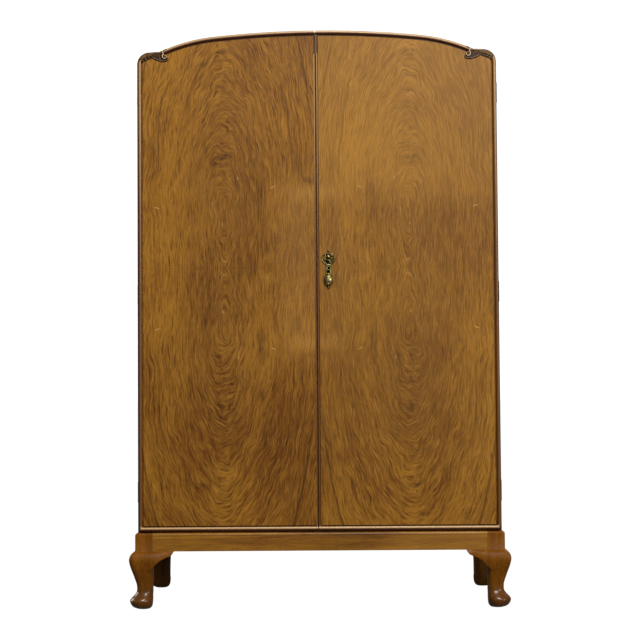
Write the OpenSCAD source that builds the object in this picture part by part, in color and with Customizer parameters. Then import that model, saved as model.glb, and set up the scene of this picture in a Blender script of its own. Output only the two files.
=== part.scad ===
// Two-door armoire on a low cabriole-leg base, with an arched top.
// Origin: on the floor, at the centre of the footprint. +Z is up, the doors face -Y.

/* [Overall] */
// Width across the closed doors
doors_w = 1150; // [1000:1:1300]
// Height of the arch above the floor
arch_h = 1838; // [1750:1:1900]
// Depth of the base frame
base_d = 516; // [460:1:560]

/* [Arched top] */
// Radius of the middle of the arch
crown_r = 3200; // [2600:10:3800]
// Half width of the middle of the arch
crown_half_w = 330; // [300:1:350]
// Radius of the two ends of the arch
haunch_r = 550; // [500:1:600]
// Height of the flat shoulders above the floor
shoulder_h = 1772; // [1765:1:1778]
// Radius of the rounded outer corners
shoulder_r = 40; // [30:1:45]

/* [Base and legs] */
// Height of the top of the base frame
base_top = 238; // [225:1:250]
// Depth of the base rails, top to bottom
rail_h = 57; // [50:1:65]
// How far the base frame stands out past the doors
base_lip = 8.5; // [6:0.5:12]
// Width of the square head of each leg
post_w = 55; // [50:1:60]
// How far the knee stands out past the leg's head
knee_out = 21; // [15:0.5:25]
// How far the pad foot stands out past the leg's head
foot_out = 18.5; // [12:0.5:22]
// How far the ankle of a rear leg, which is stouter, stands out past the leg's head
rear_ankle_out = 11; // [0:0.5:14]

/* [Doors] */
// Thickness of a door
door_t = 20; // [18:0.5:24]
// Gap between the doors and the carcase
door_gap = 1.5; // [1:0.1:3]
// Gap between the two doors
meeting_gap = 3; // [2:0.5:5]
// Sideways place of the gap between the doors
meeting_x = -4; // [-8:0.5:0]
// Gap between the base frame and the doors
bottom_gap = 4; // [3:0.5:8]
// Width of the bead round each door
bead_w = 14; // [10:0.5:16]
// How far the bead stands proud of the door
bead_proud = 2.5; // [1:0.5:4]
// Width of the quirk beside the bead
quirk_w = 4; // [2:0.5:5]
// Depth of the quirk
quirk_depth = 2.5; // [1:0.5:4]
// Width of the strip on the right door's meeting edge
strip_w = 8; // [7:0.5:10]
// Width of the lipping on the left door's meeting edge
lipping_w = 4; // [3:0.5:6]

/* [Carcase] */
// Thickness of sides, floor and division
board_t = 18; // [16:1:22]
// Thickness of the bent top
top_t = 9; // [6:1:12]
// Thickness of the back panels
back_t = 5; // [4:1:8]
// Thickness of the shelves
shelf_t = 16; // [14:1:20]
// Height of the hat shelf's underside
hat_shelf_z = 1562; // [1500:1:1600]
// Heights of the undersides of the shelves in the right bay
shelf_zs = [560, 860, 1160, 1440]; // [300:1:1700]

/* [Fittings] */
// Heights of the hinges
hinge_zs = [365, 997, 1636]; // [280:1:1720]
// Length of a hinge
hinge_h = 64; // [50:1:76]
// Radius of a hinge knuckle
knuckle_r = 3.2; // [2.8:0.1:4]
// Height of the lock and the keyhole
lock_z = 1096; // [1000:1:1200]
// Sideways place of the handle
handle_x = 34; // [30:1:50]
// Height of the pin that the handle's drop hangs on
drop_pivot_z = 1084; // [1000:1:1190]
// Radius of the hanging rail
hang_rail_r = 11; // [8:0.5:14]

/* [Hidden] */

walnut = [0.55, 0.36, 0.16];
dark_walnut = [0.42, 0.26, 0.12];
inside_wood = [0.66, 0.50, 0.30];
aged_brass = [0.60, 0.50, 0.26];
steel = [0.62, 0.62, 0.60];

// A tiny overshoot that keeps cuts clean
eps = 0.1;
// Facets of a large arc, and of small round parts
arc_fn = 720;
fine_fn = 64;

half_w = doors_w / 2;
base_half_w = half_w + base_lip;
base_front_y = -base_d / 2;
base_rear_y = base_d / 2;
base_bottom = base_top - rail_h;
door_front_y = base_front_y + base_lip;
door_back_y = door_front_y + door_t;
front_y = door_back_y + door_gap;
rear_y = base_rear_y;
back_y = rear_y - back_t;
// The carcase stands just inside the doors' outline
case_inset = 1;
side_out_x = half_w - case_inset;
side_in_x = side_out_x - board_t;
back_inset = case_inset + top_t;
floor_top = base_top + board_t;
door_bottom = base_top + bottom_gap;
left_door_x = meeting_x - meeting_gap / 2;
right_door_x = meeting_x + meeting_gap / 2;
right_panel_x = right_door_x + strip_w;
left_panel_x = left_door_x - lipping_w;
div_left_x = meeting_x - board_t / 2;
div_right_x = meeting_x + board_t / 2;
// The undersides of the two rails under the arch are flat
rail_under_z = shoulder_h - 50;
shelf_front_y = front_y + 48;
hat_shelf_front_y = front_y + 25;

// ---------- Outlines, drawn with X across and Y up ----------

// Half of the arch, right of the centre line, set in from the outer edge
module half_arch(inset) {
    crown_cy = arch_h - crown_r;
    tilt = asin(crown_half_w / crown_r);
    split_x = crown_half_w - inset * sin(tilt);
    haunch_cx = crown_half_w - haunch_r * sin(tilt);
    haunch_cy = crown_cy + (crown_r - haunch_r) * cos(tilt);
    low = haunch_cy + 100;
    intersection() {
        translate([0, crown_cy]) circle(r = crown_r - inset, $fn = arc_fn);
        translate([0, low]) square([split_x, arch_h - low + eps]);
    }
    intersection() {
        translate([haunch_cx, haunch_cy]) circle(r = haunch_r - inset, $fn = arc_fn);
        translate([split_x, low]) square([half_w - split_x - 40, arch_h - low + eps]);
    }
    translate([0, low - 50]) square([half_w - 60, 50 + eps]);
}

// Half of the whole front outline, from a given bottom to the arch
module half_outline(inset, bottom) {
    top = shoulder_h - inset;
    side = half_w - inset;
    corner_r = shoulder_r - inset;
    half_arch(inset);
    translate([0, bottom]) square([side, top - corner_r - bottom]);
    translate([0, top - corner_r - eps]) square([side - corner_r, corner_r + eps]);
    intersection() {
        translate([side - corner_r, top - corner_r]) circle(r = corner_r, $fn = fine_fn * 2);
        translate([side - corner_r - eps, top - corner_r - eps]) square(corner_r + 2 * eps);
    }
}

module outline(inset, bottom) {
    half_outline(inset, bottom);
    mirror([1, 0]) half_outline(inset, bottom);
}

// Stands a drawing up, from one depth to another
module upright(y0, y1) {
    translate([0, y1, 0]) rotate([90, 0, 0]) linear_extrude(height = y1 - y0) children();
}

module box(x, y, z) {
    translate([x[0], y[0], z[0]]) cube([x[1] - x[0], y[1] - y[0], z[1] - z[0]]);
}

module both_sides() {
    children();
    mirror([1, 0, 0]) children();
}

// ---------- Hinges, drawn for the right side ----------

hinge_x = half_w + 0.2;
hinge_y = (front_y + door_back_y) / 2;
leaf_t = 1.4;
leaf_reach = 15;
leaf_edge = hinge_x - knuckle_r - 0.7;
pin_r = 1.6;
pin_clear = 0.03;
knuckle_count = 5;
knuckle_step = hinge_h / knuckle_count;
knuckle_play = 0.2;
screw_zs = [-23, 0, 23];
screw_x = leaf_edge - 6;
screw_len = 14;
screw_head_r = 2.6;
screw_r = 1.5;

// A countersunk screw along +Y with its head at y = 0
module screw(len = screw_len, head = screw_head_r, shank = screw_r) {
    rotate([-90, 0, 0]) cylinder(r1 = head, r2 = shank, h = head - shank, $fn = 32);
    rotate([-90, 0, 0]) cylinder(r = shank, h = len, $fn = 32);
}

// Pockets for the two leaves and the round of the knuckles
module hinge_pockets(y0, y1) {
    for (z = hinge_zs) {
        box([leaf_edge - leaf_reach, leaf_edge + 4.4], [y0, y1], [z - hinge_h / 2, z + hinge_h / 2]);
        translate([hinge_x, hinge_y, z - hinge_h / 2 - 2])
            cylinder(r = knuckle_r + 0.5, h = hinge_h + 4, $fn = fine_fn);
    }
}

// One leaf with its share of the knuckles; first is the number of its first knuckle
module leaf(y0, first) {
    difference() {
        union() {
            box([leaf_edge - leaf_reach, leaf_edge], [y0, y0 + leaf_t], [-hinge_h / 2, hinge_h / 2]);
            for (k = [first : 2 : knuckle_count - 1]) {
                z0 = -hinge_h / 2 + k * knuckle_step + knuckle_play / 2;
                z1 = z0 + knuckle_step - knuckle_play;
                translate([hinge_x, hinge_y, z0]) cylinder(r = knuckle_r, h = z1 - z0, $fn = fine_fn);
                box([leaf_edge - eps, hinge_x - pin_r], [y0, y0 + leaf_t], [z0, z1]);
            }
        }
        translate([hinge_x, hinge_y, -hinge_h]) cylinder(r = pin_r + pin_clear, h = 2 * hinge_h, $fn = fine_fn);
        leaf_screws(y0 < hinge_y);
    }
}

module leaf_screws(into_door) {
    for (z = screw_zs) {
        translate([screw_x, into_door ? door_back_y : front_y, z])
            rotate([0, 0, into_door ? 180 : 0]) screw();
    }
}

module frame_leaves() {
    for (z = hinge_zs) translate([0, 0, z]) leaf(front_y, 0);
}

module door_leaves() {
    for (z = hinge_zs) translate([0, 0, z]) leaf(door_back_y - leaf_t, 1);
}

module hinge_pins() {
    head_r = 2.6;
    head_h = 1.2;
    for (z = hinge_zs) translate([hinge_x, hinge_y, z]) {
        translate([0, 0, -hinge_h / 2]) cylinder(r = pin_r, h = hinge_h, $fn = fine_fn);
        translate([0, 0, hinge_h / 2]) cylinder(r = head_r, h = head_h, $fn = fine_fn);
        translate([0, 0, -hinge_h / 2 - head_h]) cylinder(r = head_r, h = head_h, $fn = fine_fn);
    }
}

module side_hinge_screws(into_door) {
    for (z = hinge_zs) translate([0, 0, z]) leaf_screws(into_door);
}

// ---------- Carcase ----------

// The space that the back panels fill, let into the carcase
module back_space() {
    upright(back_y, rear_y + eps) outline(back_inset, base_top - eps);
}

module right_side_board() {
    difference() {
        box([side_in_x, side_out_x], [front_y, rear_y], [base_top, shoulder_h - 72]);
        back_space();
        hinge_pockets(front_y - eps, front_y + leaf_t);
        side_hinge_screws(false);
    }
}

module right_side() {
    color(walnut) right_side_board();
}

module left_side() {
    color(walnut) mirror([1, 0, 0]) right_side_board();
}

module floor_board() {
    color(inside_wood) difference() {
        box([-side_in_x, side_in_x], [front_y, back_y], [base_top, floor_top]);
        translate([bolt_x, bolt_y, floor_top - 14]) cylinder(r = bolt_hole_r, h = 15, $fn = fine_fn);
    }
}

module centre_division() {
    color(inside_wood) difference() {
        box([div_left_x, div_right_x], [front_y, back_y], [floor_top, rail_under_z]);
        box([div_right_x - keep_t, div_right_x + eps], keep_y, keep_z);
        box([div_right_x - 9, div_right_x], mortise_y, mortise_z);
    }
}

module top_panel() {
    reach = half_w - 73;
    color(walnut) upright(front_y, rear_y) intersection() {
        difference() {
            outline(case_inset, base_top);
            outline(back_inset, base_top - 1);
        }
        translate([-reach, shoulder_h - 30]) square([2 * reach, 120]);
    }
}

module right_shoulder() {
    block_in_x = half_w - 73;
    soffit_z = shoulder_h - 27;
    difference() {
        upright(front_y, rear_y) difference() {
            half_outline(case_inset, base_top);
            translate([-1, 0]) square([block_in_x + 1, arch_h]);
            translate([0, 0]) square([side_in_x, soffit_z]);
            translate([0, 0]) square([half_w, shoulder_h - 72]);
        }
        back_space();
    }
}

module right_shoulder_block() {
    color(walnut) right_shoulder();
}

module left_shoulder_block() {
    color(walnut) mirror([1, 0, 0]) right_shoulder();
}

// A shaped rail that fills the arch between the shoulders
module arch_rail(y0, y1) {
    reach = half_w - 73;
    upright(y0, y1) intersection() {
        outline(back_inset, base_top);
        translate([-reach, rail_under_z]) square([2 * reach, 120]);
    }
    both_sides() box([reach, side_in_x], [y0, y1], [rail_under_z, shoulder_h - 27]);
}

module front_top_rail() {
    color(inside_wood) difference() {
        arch_rail(front_y, front_y + 22);
        translate([bolt_x, bolt_y, rail_under_z - 1])
            cylinder(r = bolt_hole_r, h = 15, $fn = fine_fn);
    }
}

module rear_top_rail() {
    color(inside_wood) arch_rail(back_y - 22, back_y);
}

// The back panel that starts at x0 and goes to the right
module half_back(x0) {
    color(inside_wood) difference() {
        upright(back_y, rear_y) intersection() {
            outline(back_inset, base_top);
            translate([x0, 0]) square([half_w + 10, arch_h]);
        }
        back_screw_set();
    }
}

module right_back_panel() {
    half_back(meeting_x);
}

module left_back_panel() {
    half_back(meeting_x - half_w - 10);
}

// Screws in the ply only, along both sides, the division and the floor
module back_screw_set() {
    rows = 5;
    for (i = [0 : rows - 1]) {
        z = base_top + 60 + i * (shoulder_h - base_top - 160) / (rows - 1);
        for (x = [-side_in_x - 4, meeting_x - 5, meeting_x + 5, side_in_x + 4])
            translate([x, rear_y, z]) rotate([0, 0, 180]) screw(back_t, 3.2, 1.8);
    }
    for (x = [-420, -280, -140, 140, 280, 420])
        translate([x, rear_y, base_top + board_t / 2]) rotate([0, 0, 180]) screw(back_t, 3.2, 1.8);
}

module back_screws() {
    color(steel) back_screw_set();
}

module hat_shelf() {
    color(inside_wood) {
        box([-side_in_x, div_left_x], [hat_shelf_front_y, back_y], [hat_shelf_z, hat_shelf_z + shelf_t]);
    }
}

rail_y = 12;
rail_z = hat_shelf_z - 50;
socket_h = 14;
socket_r = 17;

module hanging_rail() {
    rail_wall = 1.5;
    color(aged_brass) translate([-side_in_x + 2, rail_y, rail_z]) rotate([0, 90, 0]) difference() {
        cylinder(r = hang_rail_r, h = side_in_x + div_left_x - 4, $fn = fine_fn);
        translate([0, 0, -1]) cylinder(r = hang_rail_r - rail_wall, h = 2 * side_in_x, $fn = fine_fn);
    }
}

// A cup with a flange that holds one end of the rail, opening along +Z
module socket() {
    difference() {
        union() {
            cylinder(r = socket_r, h = 2, $fn = fine_fn);
            cylinder(r = hang_rail_r + 2, h = socket_h, $fn = fine_fn);
        }
        translate([0, 0, 2]) cylinder(r = hang_rail_r, h = socket_h, $fn = fine_fn);
    }
}

module rail_sockets() {
    color(aged_brass) {
        translate([-side_in_x, rail_y, rail_z]) rotate([0, 90, 0]) socket();
        translate([div_left_x, rail_y, rail_z]) rotate([0, -90, 0]) socket();
    }
}

module shelf(number) {
    z = shelf_zs[number];
    color(inside_wood) box([div_right_x, side_in_x], [shelf_front_y, back_y], [z, z + shelf_t]);
}

module shelf_1() {
    shelf(0);
}

module shelf_2() {
    shelf(1);
}

module shelf_3() {
    shelf(2);
}

module shelf_4() {
    shelf(3);
}

// Strips that the shelves rest on, screwed to the side and the division
module shelf_cleats() {
    cleat_w = 12;
    cleat_h = 20;
    cleat_y = [shelf_front_y + 20, back_y - 20];
    color(inside_wood) {
        for (z = shelf_zs) {
            box([div_right_x, div_right_x + cleat_w], cleat_y, [z - cleat_h, z]);
            box([side_in_x - cleat_w, side_in_x], cleat_y, [z - cleat_h, z]);
        }
        box([-side_in_x, -side_in_x + cleat_w], cleat_y, [hat_shelf_z - cleat_h, hat_shelf_z]);
        box([div_left_x - cleat_w, div_left_x], cleat_y, [hat_shelf_z - cleat_h, hat_shelf_z]);
    }
}

// ---------- Base frame and legs ----------

rail_t = 25;

module front_base_rail() {
    reach = base_half_w - post_w;
    color(walnut) box([-reach, reach], [base_front_y, base_front_y + rail_t], [base_bottom, base_top]);
}

module rear_base_rail() {
    reach = base_half_w - post_w;
    color(walnut) box([-reach, reach], [base_rear_y - rail_t, base_rear_y], [base_bottom, base_top]);
}

module right_rail() {
    reach = base_d / 2 - post_w;
    box([base_half_w - rail_t, base_half_w], [-reach, reach], [base_bottom, base_top]);
}

module right_base_rail() {
    color(walnut) right_rail();
}

module left_base_rail() {
    color(walnut) mirror([1, 0, 0]) right_rail();
}

module base_bearer() {
    bearer_w = 50;
    reach = base_d / 2 - rail_t;
    color(inside_wood)
        box([meeting_x - bearer_w / 2, meeting_x + bearer_w / 2], [-reach, reach], [base_bottom + 10, base_top]);
}

// Three-sided blocks glued behind the rails, just inside each leg's head
module base_corner_blocks() {
    block = 45;
    color(inside_wood) for (sx = [0, 1], sy = [0, 1]) mirror([sx, 0, 0]) mirror([0, sy, 0])
        translate([base_half_w - post_w - block, base_front_y + rail_t, base_bottom + 12])
            linear_extrude(height = rail_h - 12)
                polygon([[0, 0], [block, 0], [block, post_w - rail_t]]);
}

// Rows of the cabriole leg: height, outward swell, inner edge, squareness of the section
leg_rows = [
    [0, -4, -44, 2],
    [4, 6, -49, 2],
    [12, foot_out - 4.5, -53, 2],
    [25, foot_out, -54.5, 2.1],
    [34, foot_out - 5, -54.5, 2.2],
    [42, 5, -54, 2.3],
    [52, -2.5, -54, 2.5],
    [64, -4, -54, 2.8],
    [76, -3, -54, 3],
    [92, 2, -54.5, 3.3],
    [112, 9.5, -55, 3.6],
    [132, 17, -55, 4.2],
    [152, knee_out, -55, 5],
    [164, knee_out - 3, -55, 6],
    [174, knee_out - 10, -55, 7],
    [base_bottom, 0, -55, 8]
];
leg_sides = 24;
rear_leg_rows = [
    for (row = leg_rows)
        [row[0], row[0] > 30 && row[0] < 130 ? max(row[1], rear_ankle_out) : row[1], row[2], row[3]]
];

// A point of a squared circle of half width 1
function squared(a, n) = [
    sign(cos(a)) * pow(abs(cos(a)), 2 / n),
    sign(sin(a)) * pow(abs(sin(a)), 2 / n)
];

function leg_ring(row) = [
    for (i = [0 : leg_sides - 1])
        let (p = squared(360 * (i + 0.5) / leg_sides, row[3]))
        let (middle = (row[1] + row[2]) / 2, half = (row[1] - row[2]) / 2)
        [middle + half * p[0], middle + half * p[1], row[0]]
];

// A skin over rings of the same number of points, listed from the bottom up
module skin(rings) {
    count = len(rings[0]);
    last = len(rings) - 1;
    points = [for (ring = rings) each ring];
    walls = [
        for (r = [0 : last - 1], i = [0 : count - 1])
            [r * count + i, (r + 1) * count + i, (r + 1) * count + (i + 1) % count, r * count + (i + 1) % count]
    ];
    bottom = [for (i = [0 : count - 1]) i];
    top = [for (i = [count - 1 : -1 : 0]) last * count + i];
    polyhedron(points = points, faces = concat([bottom], walls, [top]));
}

// A leg at the right rear corner, swelling towards +X and +Y
module leg(rows) {
    translate([base_half_w, base_rear_y, 0]) {
        skin([for (row = rows) leg_ring(row)]);
        translate([-post_w, -post_w, base_bottom]) cube([post_w, post_w, rail_h]);
    }
}

module rear_right_leg() {
    color(walnut) leg(rear_leg_rows);
}

module rear_left_leg() {
    color(walnut) mirror([1, 0, 0]) leg(rear_leg_rows);
}

module front_right_leg() {
    color(walnut) mirror([0, 1, 0]) leg(leg_rows);
}

module front_left_leg() {
    color(walnut) mirror([1, 0, 0]) mirror([0, 1, 0]) leg(leg_rows);
}

bracket_reach = 121;
bracket_t = 34;
bracket_front = 12;

// The curved ear between a leg and the rail, drawn with X away from the leg's outer face
module bracket_shape() {
    difference() {
        polygon([
            [post_w, base_bottom], [bracket_reach, base_bottom],
            [bracket_reach - 8, base_bottom - 16], [bracket_reach - 8, base_bottom - 60],
            [post_w, base_bottom - 60]
        ]);
        translate([bracket_reach - 9, base_bottom - 82]) circle(r = 66, $fn = 128);
    }
}

module knee_brackets() {
    color(walnut) for (sx = [0, 1], sy = [0, 1]) mirror([sx, 0, 0]) mirror([0, sy, 0]) {
        translate([base_half_w, 0, 0]) mirror([1, 0, 0])
            upright(base_front_y - bracket_front, base_front_y - bracket_front + bracket_t) bracket_shape();
        translate([base_half_w + bracket_front - bracket_t, base_front_y, 0]) rotate([90, 0, 90])
            linear_extrude(height = bracket_t) bracket_shape();
    }
}

// ---------- Doors ----------

// The part of a drawing that belongs to one door
module right_half() {
    intersection() {
        children();
        translate([right_door_x, 0]) square([half_w + 20, arch_h + 20]);
    }
}

module left_half() {
    intersection() {
        children();
        translate([left_door_x - half_w - 20, 0]) square([half_w + 20, arch_h + 20]);
    }
}

scroll_in_x = half_w - 90;
// The side beads end under the scrolls, a little way round the corners
side_bead_top = shoulder_h - 24;

// The beads of the whole front, which the scrolls interrupt; extra widens them by the quirk
module bead_drawing(extra) {
    w = bead_w + extra;
    intersection() {
        difference() {
            outline(0, door_bottom);
            outline(w, door_bottom + w);
        }
        union() {
            translate([-scroll_in_x, side_bead_top - eps]) square([2 * scroll_in_x, arch_h]);
            translate([-half_w, 0]) square([doors_w, side_bead_top]);
        }
    }
}

module panel_drawing(extra) {
    difference() {
        outline(0, door_bottom);
        bead_drawing(extra);
    }
}

// The cuts in a door for its three hinges, on the right
module door_hinge_cuts() {
    hinge_pockets(door_back_y - leaf_t, door_back_y + eps);
    side_hinge_screws(true);
}

module right_door_panel() {
    color(walnut) difference() {
        union() {
            upright(door_front_y + quirk_depth, door_back_y) intersection() {
                right_half() panel_drawing(0);
                translate([right_panel_x, 0]) square([half_w, arch_h]);
            }
            upright(door_front_y, door_front_y + quirk_depth + eps) intersection() {
                right_half() panel_drawing(quirk_w);
                translate([right_panel_x, 0]) square([half_w, arch_h]);
            }
        }
        door_hinge_cuts();
        translate([handle_x, door_front_y - 1, lock_z]) rotate([-90, 0, 0])
            cylinder(r = key_r, h = door_t + 2, $fn = fine_fn);
    }
}

module left_door_panel() {
    color(walnut) difference() {
        union() {
            upright(door_front_y + quirk_depth, door_back_y) intersection() {
                left_half() panel_drawing(0);
                translate([-half_w, 0]) square([half_w + left_panel_x, arch_h]);
            }
            upright(door_front_y, door_front_y + quirk_depth + eps) intersection() {
                left_half() panel_drawing(quirk_w);
                translate([-half_w, 0]) square([half_w + left_panel_x, arch_h]);
            }
        }
        mirror([1, 0, 0]) door_hinge_cuts();
    }
}

module right_door_beads() {
    color(dark_walnut) difference() {
        upright(door_front_y - bead_proud, door_back_y) right_half() bead_drawing(0);
        door_hinge_cuts();
    }
}

// The left door's beads, with the plain lipping of its meeting edge
module left_door_beads() {
    color(dark_walnut) difference() {
        upright(door_front_y - bead_proud, door_back_y) left_half() bead_drawing(0);
        mirror([1, 0, 0]) door_hinge_cuts();
    }
    color(dark_walnut) upright(door_front_y, door_back_y) intersection() {
        panel_drawing(0);
        translate([left_panel_x, 0]) square([lipping_w, arch_h]);
    }
}

module meeting_bead() {
    color(dark_walnut) upright(door_front_y - 1, door_back_y) intersection() {
        panel_drawing(0);
        translate([right_door_x, 0]) square([strip_w, arch_h]);
    }
}

// A carved scroll: a volute under the end of the arch and a leafy body out to the corner
scroll_proud = 7;
volute_x = half_w - 86;
volute_z = shoulder_h - 16;
volute_r = 11;

module right_scroll_shape() {
    intersection() {
        half_outline(0, door_bottom);
        union() {
            translate([volute_x, volute_z]) circle(r = volute_r, $fn = fine_fn);
            polygon([
                [volute_x, volute_z - volute_r], [volute_x + 22, volute_z - 8], [half_w - 40, volute_z + 1],
                [half_w - 16, volute_z - 14], [half_w, volute_z - 22], [half_w, shoulder_h],
                [volute_x + 10, shoulder_h], [volute_x + 9, volute_z + 6]
            ]);
            translate([half_w - 16, volute_z - 10]) circle(r = 8, $fn = fine_fn);
        }
    }
}

module scroll_solid() {
    upright(door_front_y - scroll_proud, door_front_y) difference() {
        right_scroll_shape();
        bead_drawing(0);
    }
}

module right_scroll() {
    color(dark_walnut) scroll_solid();
}

module left_scroll() {
    color(dark_walnut) mirror([1, 0, 0]) scroll_solid();
}

module right_door_leaves() {
    color(aged_brass) door_leaves();
}

module left_door_leaves() {
    color(aged_brass) mirror([1, 0, 0]) door_leaves();
}

module right_frame_leaves() {
    color(aged_brass) frame_leaves();
}

module left_frame_leaves() {
    color(aged_brass) mirror([1, 0, 0]) frame_leaves();
}

module right_hinge_pins() {
    color(aged_brass) hinge_pins();
}

module left_hinge_pins() {
    color(aged_brass) mirror([1, 0, 0]) hinge_pins();
}

module frame_screws() {
    color(aged_brass) both_sides() side_hinge_screws(false);
}

module right_door_screws() {
    color(aged_brass) side_hinge_screws(true);
}

module left_door_screws() {
    color(aged_brass) mirror([1, 0, 0]) side_hinge_screws(true);
}

// ---------- Mirror inside the left door ----------

mirror_x = [-480, -100];
mirror_z = [640, 1560];
mirror_t = 4.5;

module door_mirror() {
    color([0.8, 0.84, 0.86]) box(mirror_x, [door_back_y, door_back_y + mirror_t], mirror_z);
}

// A hooked clip: a foot on the door beside the glass and a lip over its edge
module clip() {
    clip_w = 14;
    foot = 12;
    lip = 5;
    t = 1.2;
    box([0, foot], [door_back_y, door_back_y + t], [-clip_w / 2, clip_w / 2]);
    box([0, t], [door_back_y, door_back_y + mirror_t + t], [-clip_w / 2, clip_w / 2]);
    box([-lip, t], [door_back_y + mirror_t, door_back_y + mirror_t + t], [-clip_w / 2, clip_w / 2]);
}

module mirror_clips() {
    mid_z = (mirror_z[0] + mirror_z[1]) / 2;
    color(aged_brass) {
        for (z = [mirror_z[0] + 120, mid_z, mirror_z[1] - 120]) {
            translate([mirror_x[1], 0, z]) clip();
            translate([mirror_x[0], 0, z]) mirror([1, 0, 0]) clip();
        }
        for (x = [mirror_x[0] + 90, mirror_x[1] - 90]) {
            translate([x, 0, mirror_z[1]]) rotate([0, -90, 0]) clip();
            translate([x, 0, mirror_z[0]]) rotate([0, 90, 0]) clip();
        }
    }
}

// ---------- Bolts inside the left door ----------

bolt_r = 3;
bolt_hole_r = 4.6;
bolt_x = left_door_x - 24;
bolt_plate_w = 14;
bolt_plate_t = 2;
bolt_plate_h = 70;
bolt_y = door_back_y + 8.5;
bolt_len = 86;
bolt_tip_gap = 2;
bolt_play = 0.05;
staple_h = 10;

// A plate with two staples; the bolt shoots along +Z and z = 0 is the far end of its reach
module bolt_plate() {
    top = -bolt_tip_gap - 8;
    difference() {
        union() {
            translate([-bolt_plate_w / 2, door_back_y, top - bolt_plate_h])
                cube([bolt_plate_w, bolt_plate_t, bolt_plate_h]);
            for (z = [top - staple_h, top - bolt_plate_h])
                translate([-bolt_plate_w / 2, door_back_y, z]) cube([bolt_plate_w, 12.5, staple_h]);
        }
        translate([0, bolt_y, -120]) cylinder(r = bolt_r + bolt_play, h = 140, $fn = fine_fn);
    }
}

// The round bolt with its knob, drawn back
module bolt_rod() {
    knob_z = -bolt_tip_gap - 16 - bolt_plate_h / 2;
    knob_out = 9;
    translate([0, bolt_y, -bolt_tip_gap - bolt_len]) cylinder(r = bolt_r, h = bolt_len, $fn = fine_fn);
    translate([0, bolt_y, knob_z]) rotate([-90, 0, 0]) cylinder(r = 2, h = knob_out, $fn = fine_fn);
    translate([0, bolt_y + knob_out, knob_z]) sphere(r = 4.5, $fn = fine_fn);
}

module at_top_bolt() {
    translate([bolt_x, 0, rail_under_z]) children();
}

module at_bottom_bolt() {
    translate([bolt_x, 0, floor_top]) mirror([0, 0, 1]) children();
}

module top_bolt_plate() {
    color(aged_brass) at_top_bolt() bolt_plate();
}

module top_bolt() {
    color(aged_brass) at_top_bolt() bolt_rod();
}

module bottom_bolt_plate() {
    color(aged_brass) at_bottom_bolt() bolt_plate();
}

module bottom_bolt() {
    color(aged_brass) at_bottom_bolt() bolt_rod();
}

// ---------- Tie rail and lock inside the right door ----------

module tie_rail() {
    tie_x = [130, 450];
    tie_z = 1500;
    stand_off = 30;
    tie_r = 4;
    color(aged_brass) {
        translate([tie_x[0] - 15, door_back_y + stand_off, tie_z]) rotate([0, 90, 0])
            cylinder(r = tie_r, h = tie_x[1] - tie_x[0] + 30, $fn = fine_fn);
        for (x = tie_x) translate([x, door_back_y, tie_z]) rotate([-90, 0, 0]) {
            cylinder(r = 11, h = 2.5, $fn = fine_fn);
            cylinder(r = 4, h = stand_off, $fn = fine_fn);
        }
    }
}

key_r = 3;
case_x = [right_door_x + 10, right_door_x + 62];
case_z = [lock_z - 24, lock_z + 24];
case_depth = 14;
lock_bolt_x = [case_x[0] + 1, case_x[0] + 42];
lock_bolt_y = [door_back_y + 7.5, door_back_y + 12.5];
lock_bolt_z = [lock_z + 5, lock_z + 15];
lock_play = 0.3;
keep_t = 1.2;
keep_y = [front_y + 1.5, front_y + 22];
keep_z = [lock_bolt_z[0] - 14, lock_bolt_z[1] + 14];
mortise_y = [lock_bolt_y[0] - 1.2, lock_bolt_y[1] + 1.2];
mortise_z = [lock_bolt_z[0] - 1.2, lock_bolt_z[1] + 1.2];

module lock_case() {
    color(aged_brass) difference() {
        box(case_x, [door_back_y, door_back_y + case_depth], case_z);
        box([case_x[0] - 1, lock_bolt_x[1] + 2],
            [lock_bolt_y[0] - lock_play, lock_bolt_y[1] + lock_play],
            [lock_bolt_z[0] - lock_play, lock_bolt_z[1] + lock_play]);
        translate([handle_x, door_back_y - 1, lock_z]) rotate([-90, 0, 0])
            cylinder(r = key_r, h = case_depth - 1, $fn = fine_fn);
    }
}

module lock_bolt() {
    color(steel) box(lock_bolt_x, lock_bolt_y, lock_bolt_z);
}

module lock_keep() {
    color(aged_brass) difference() {
        box([div_right_x - keep_t, div_right_x], keep_y, keep_z);
        box([div_right_x - 9, div_right_x + 1], mortise_y, mortise_z);
    }
}

// ---------- Drop handle on the right door ----------

plate_t = 1.8;
plate_top = lock_z + 34;
plate_foot = drop_pivot_z - 5;
drop_pin_r = 1.2;
drop_pin_play = 0.06;
drop_y = door_front_y - 5.2;
lug_half = 6;
lug_t = 2;

// The pierced backplate: a spine, a ring at each side and a pointed top
module plate_shape() {
    ring_z = lock_z + 8;
    difference() {
        union() {
            translate([0, lock_z + 2]) circle(r = 12, $fn = fine_fn);
            for (sx = [-1, 1]) translate([sx * 12, ring_z]) circle(r = 10, $fn = fine_fn);
            translate([-8, plate_foot]) square([16, 24]);
            polygon([[-9, lock_z + 12], [9, lock_z + 12], [3, plate_top], [-3, plate_top]]);
        }
        for (sx = [-1, 1]) translate([sx * 15, ring_z]) circle(r = 4, $fn = fine_fn);
        translate([0, lock_z]) circle(r = key_r, $fn = fine_fn);
    }
}

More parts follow.
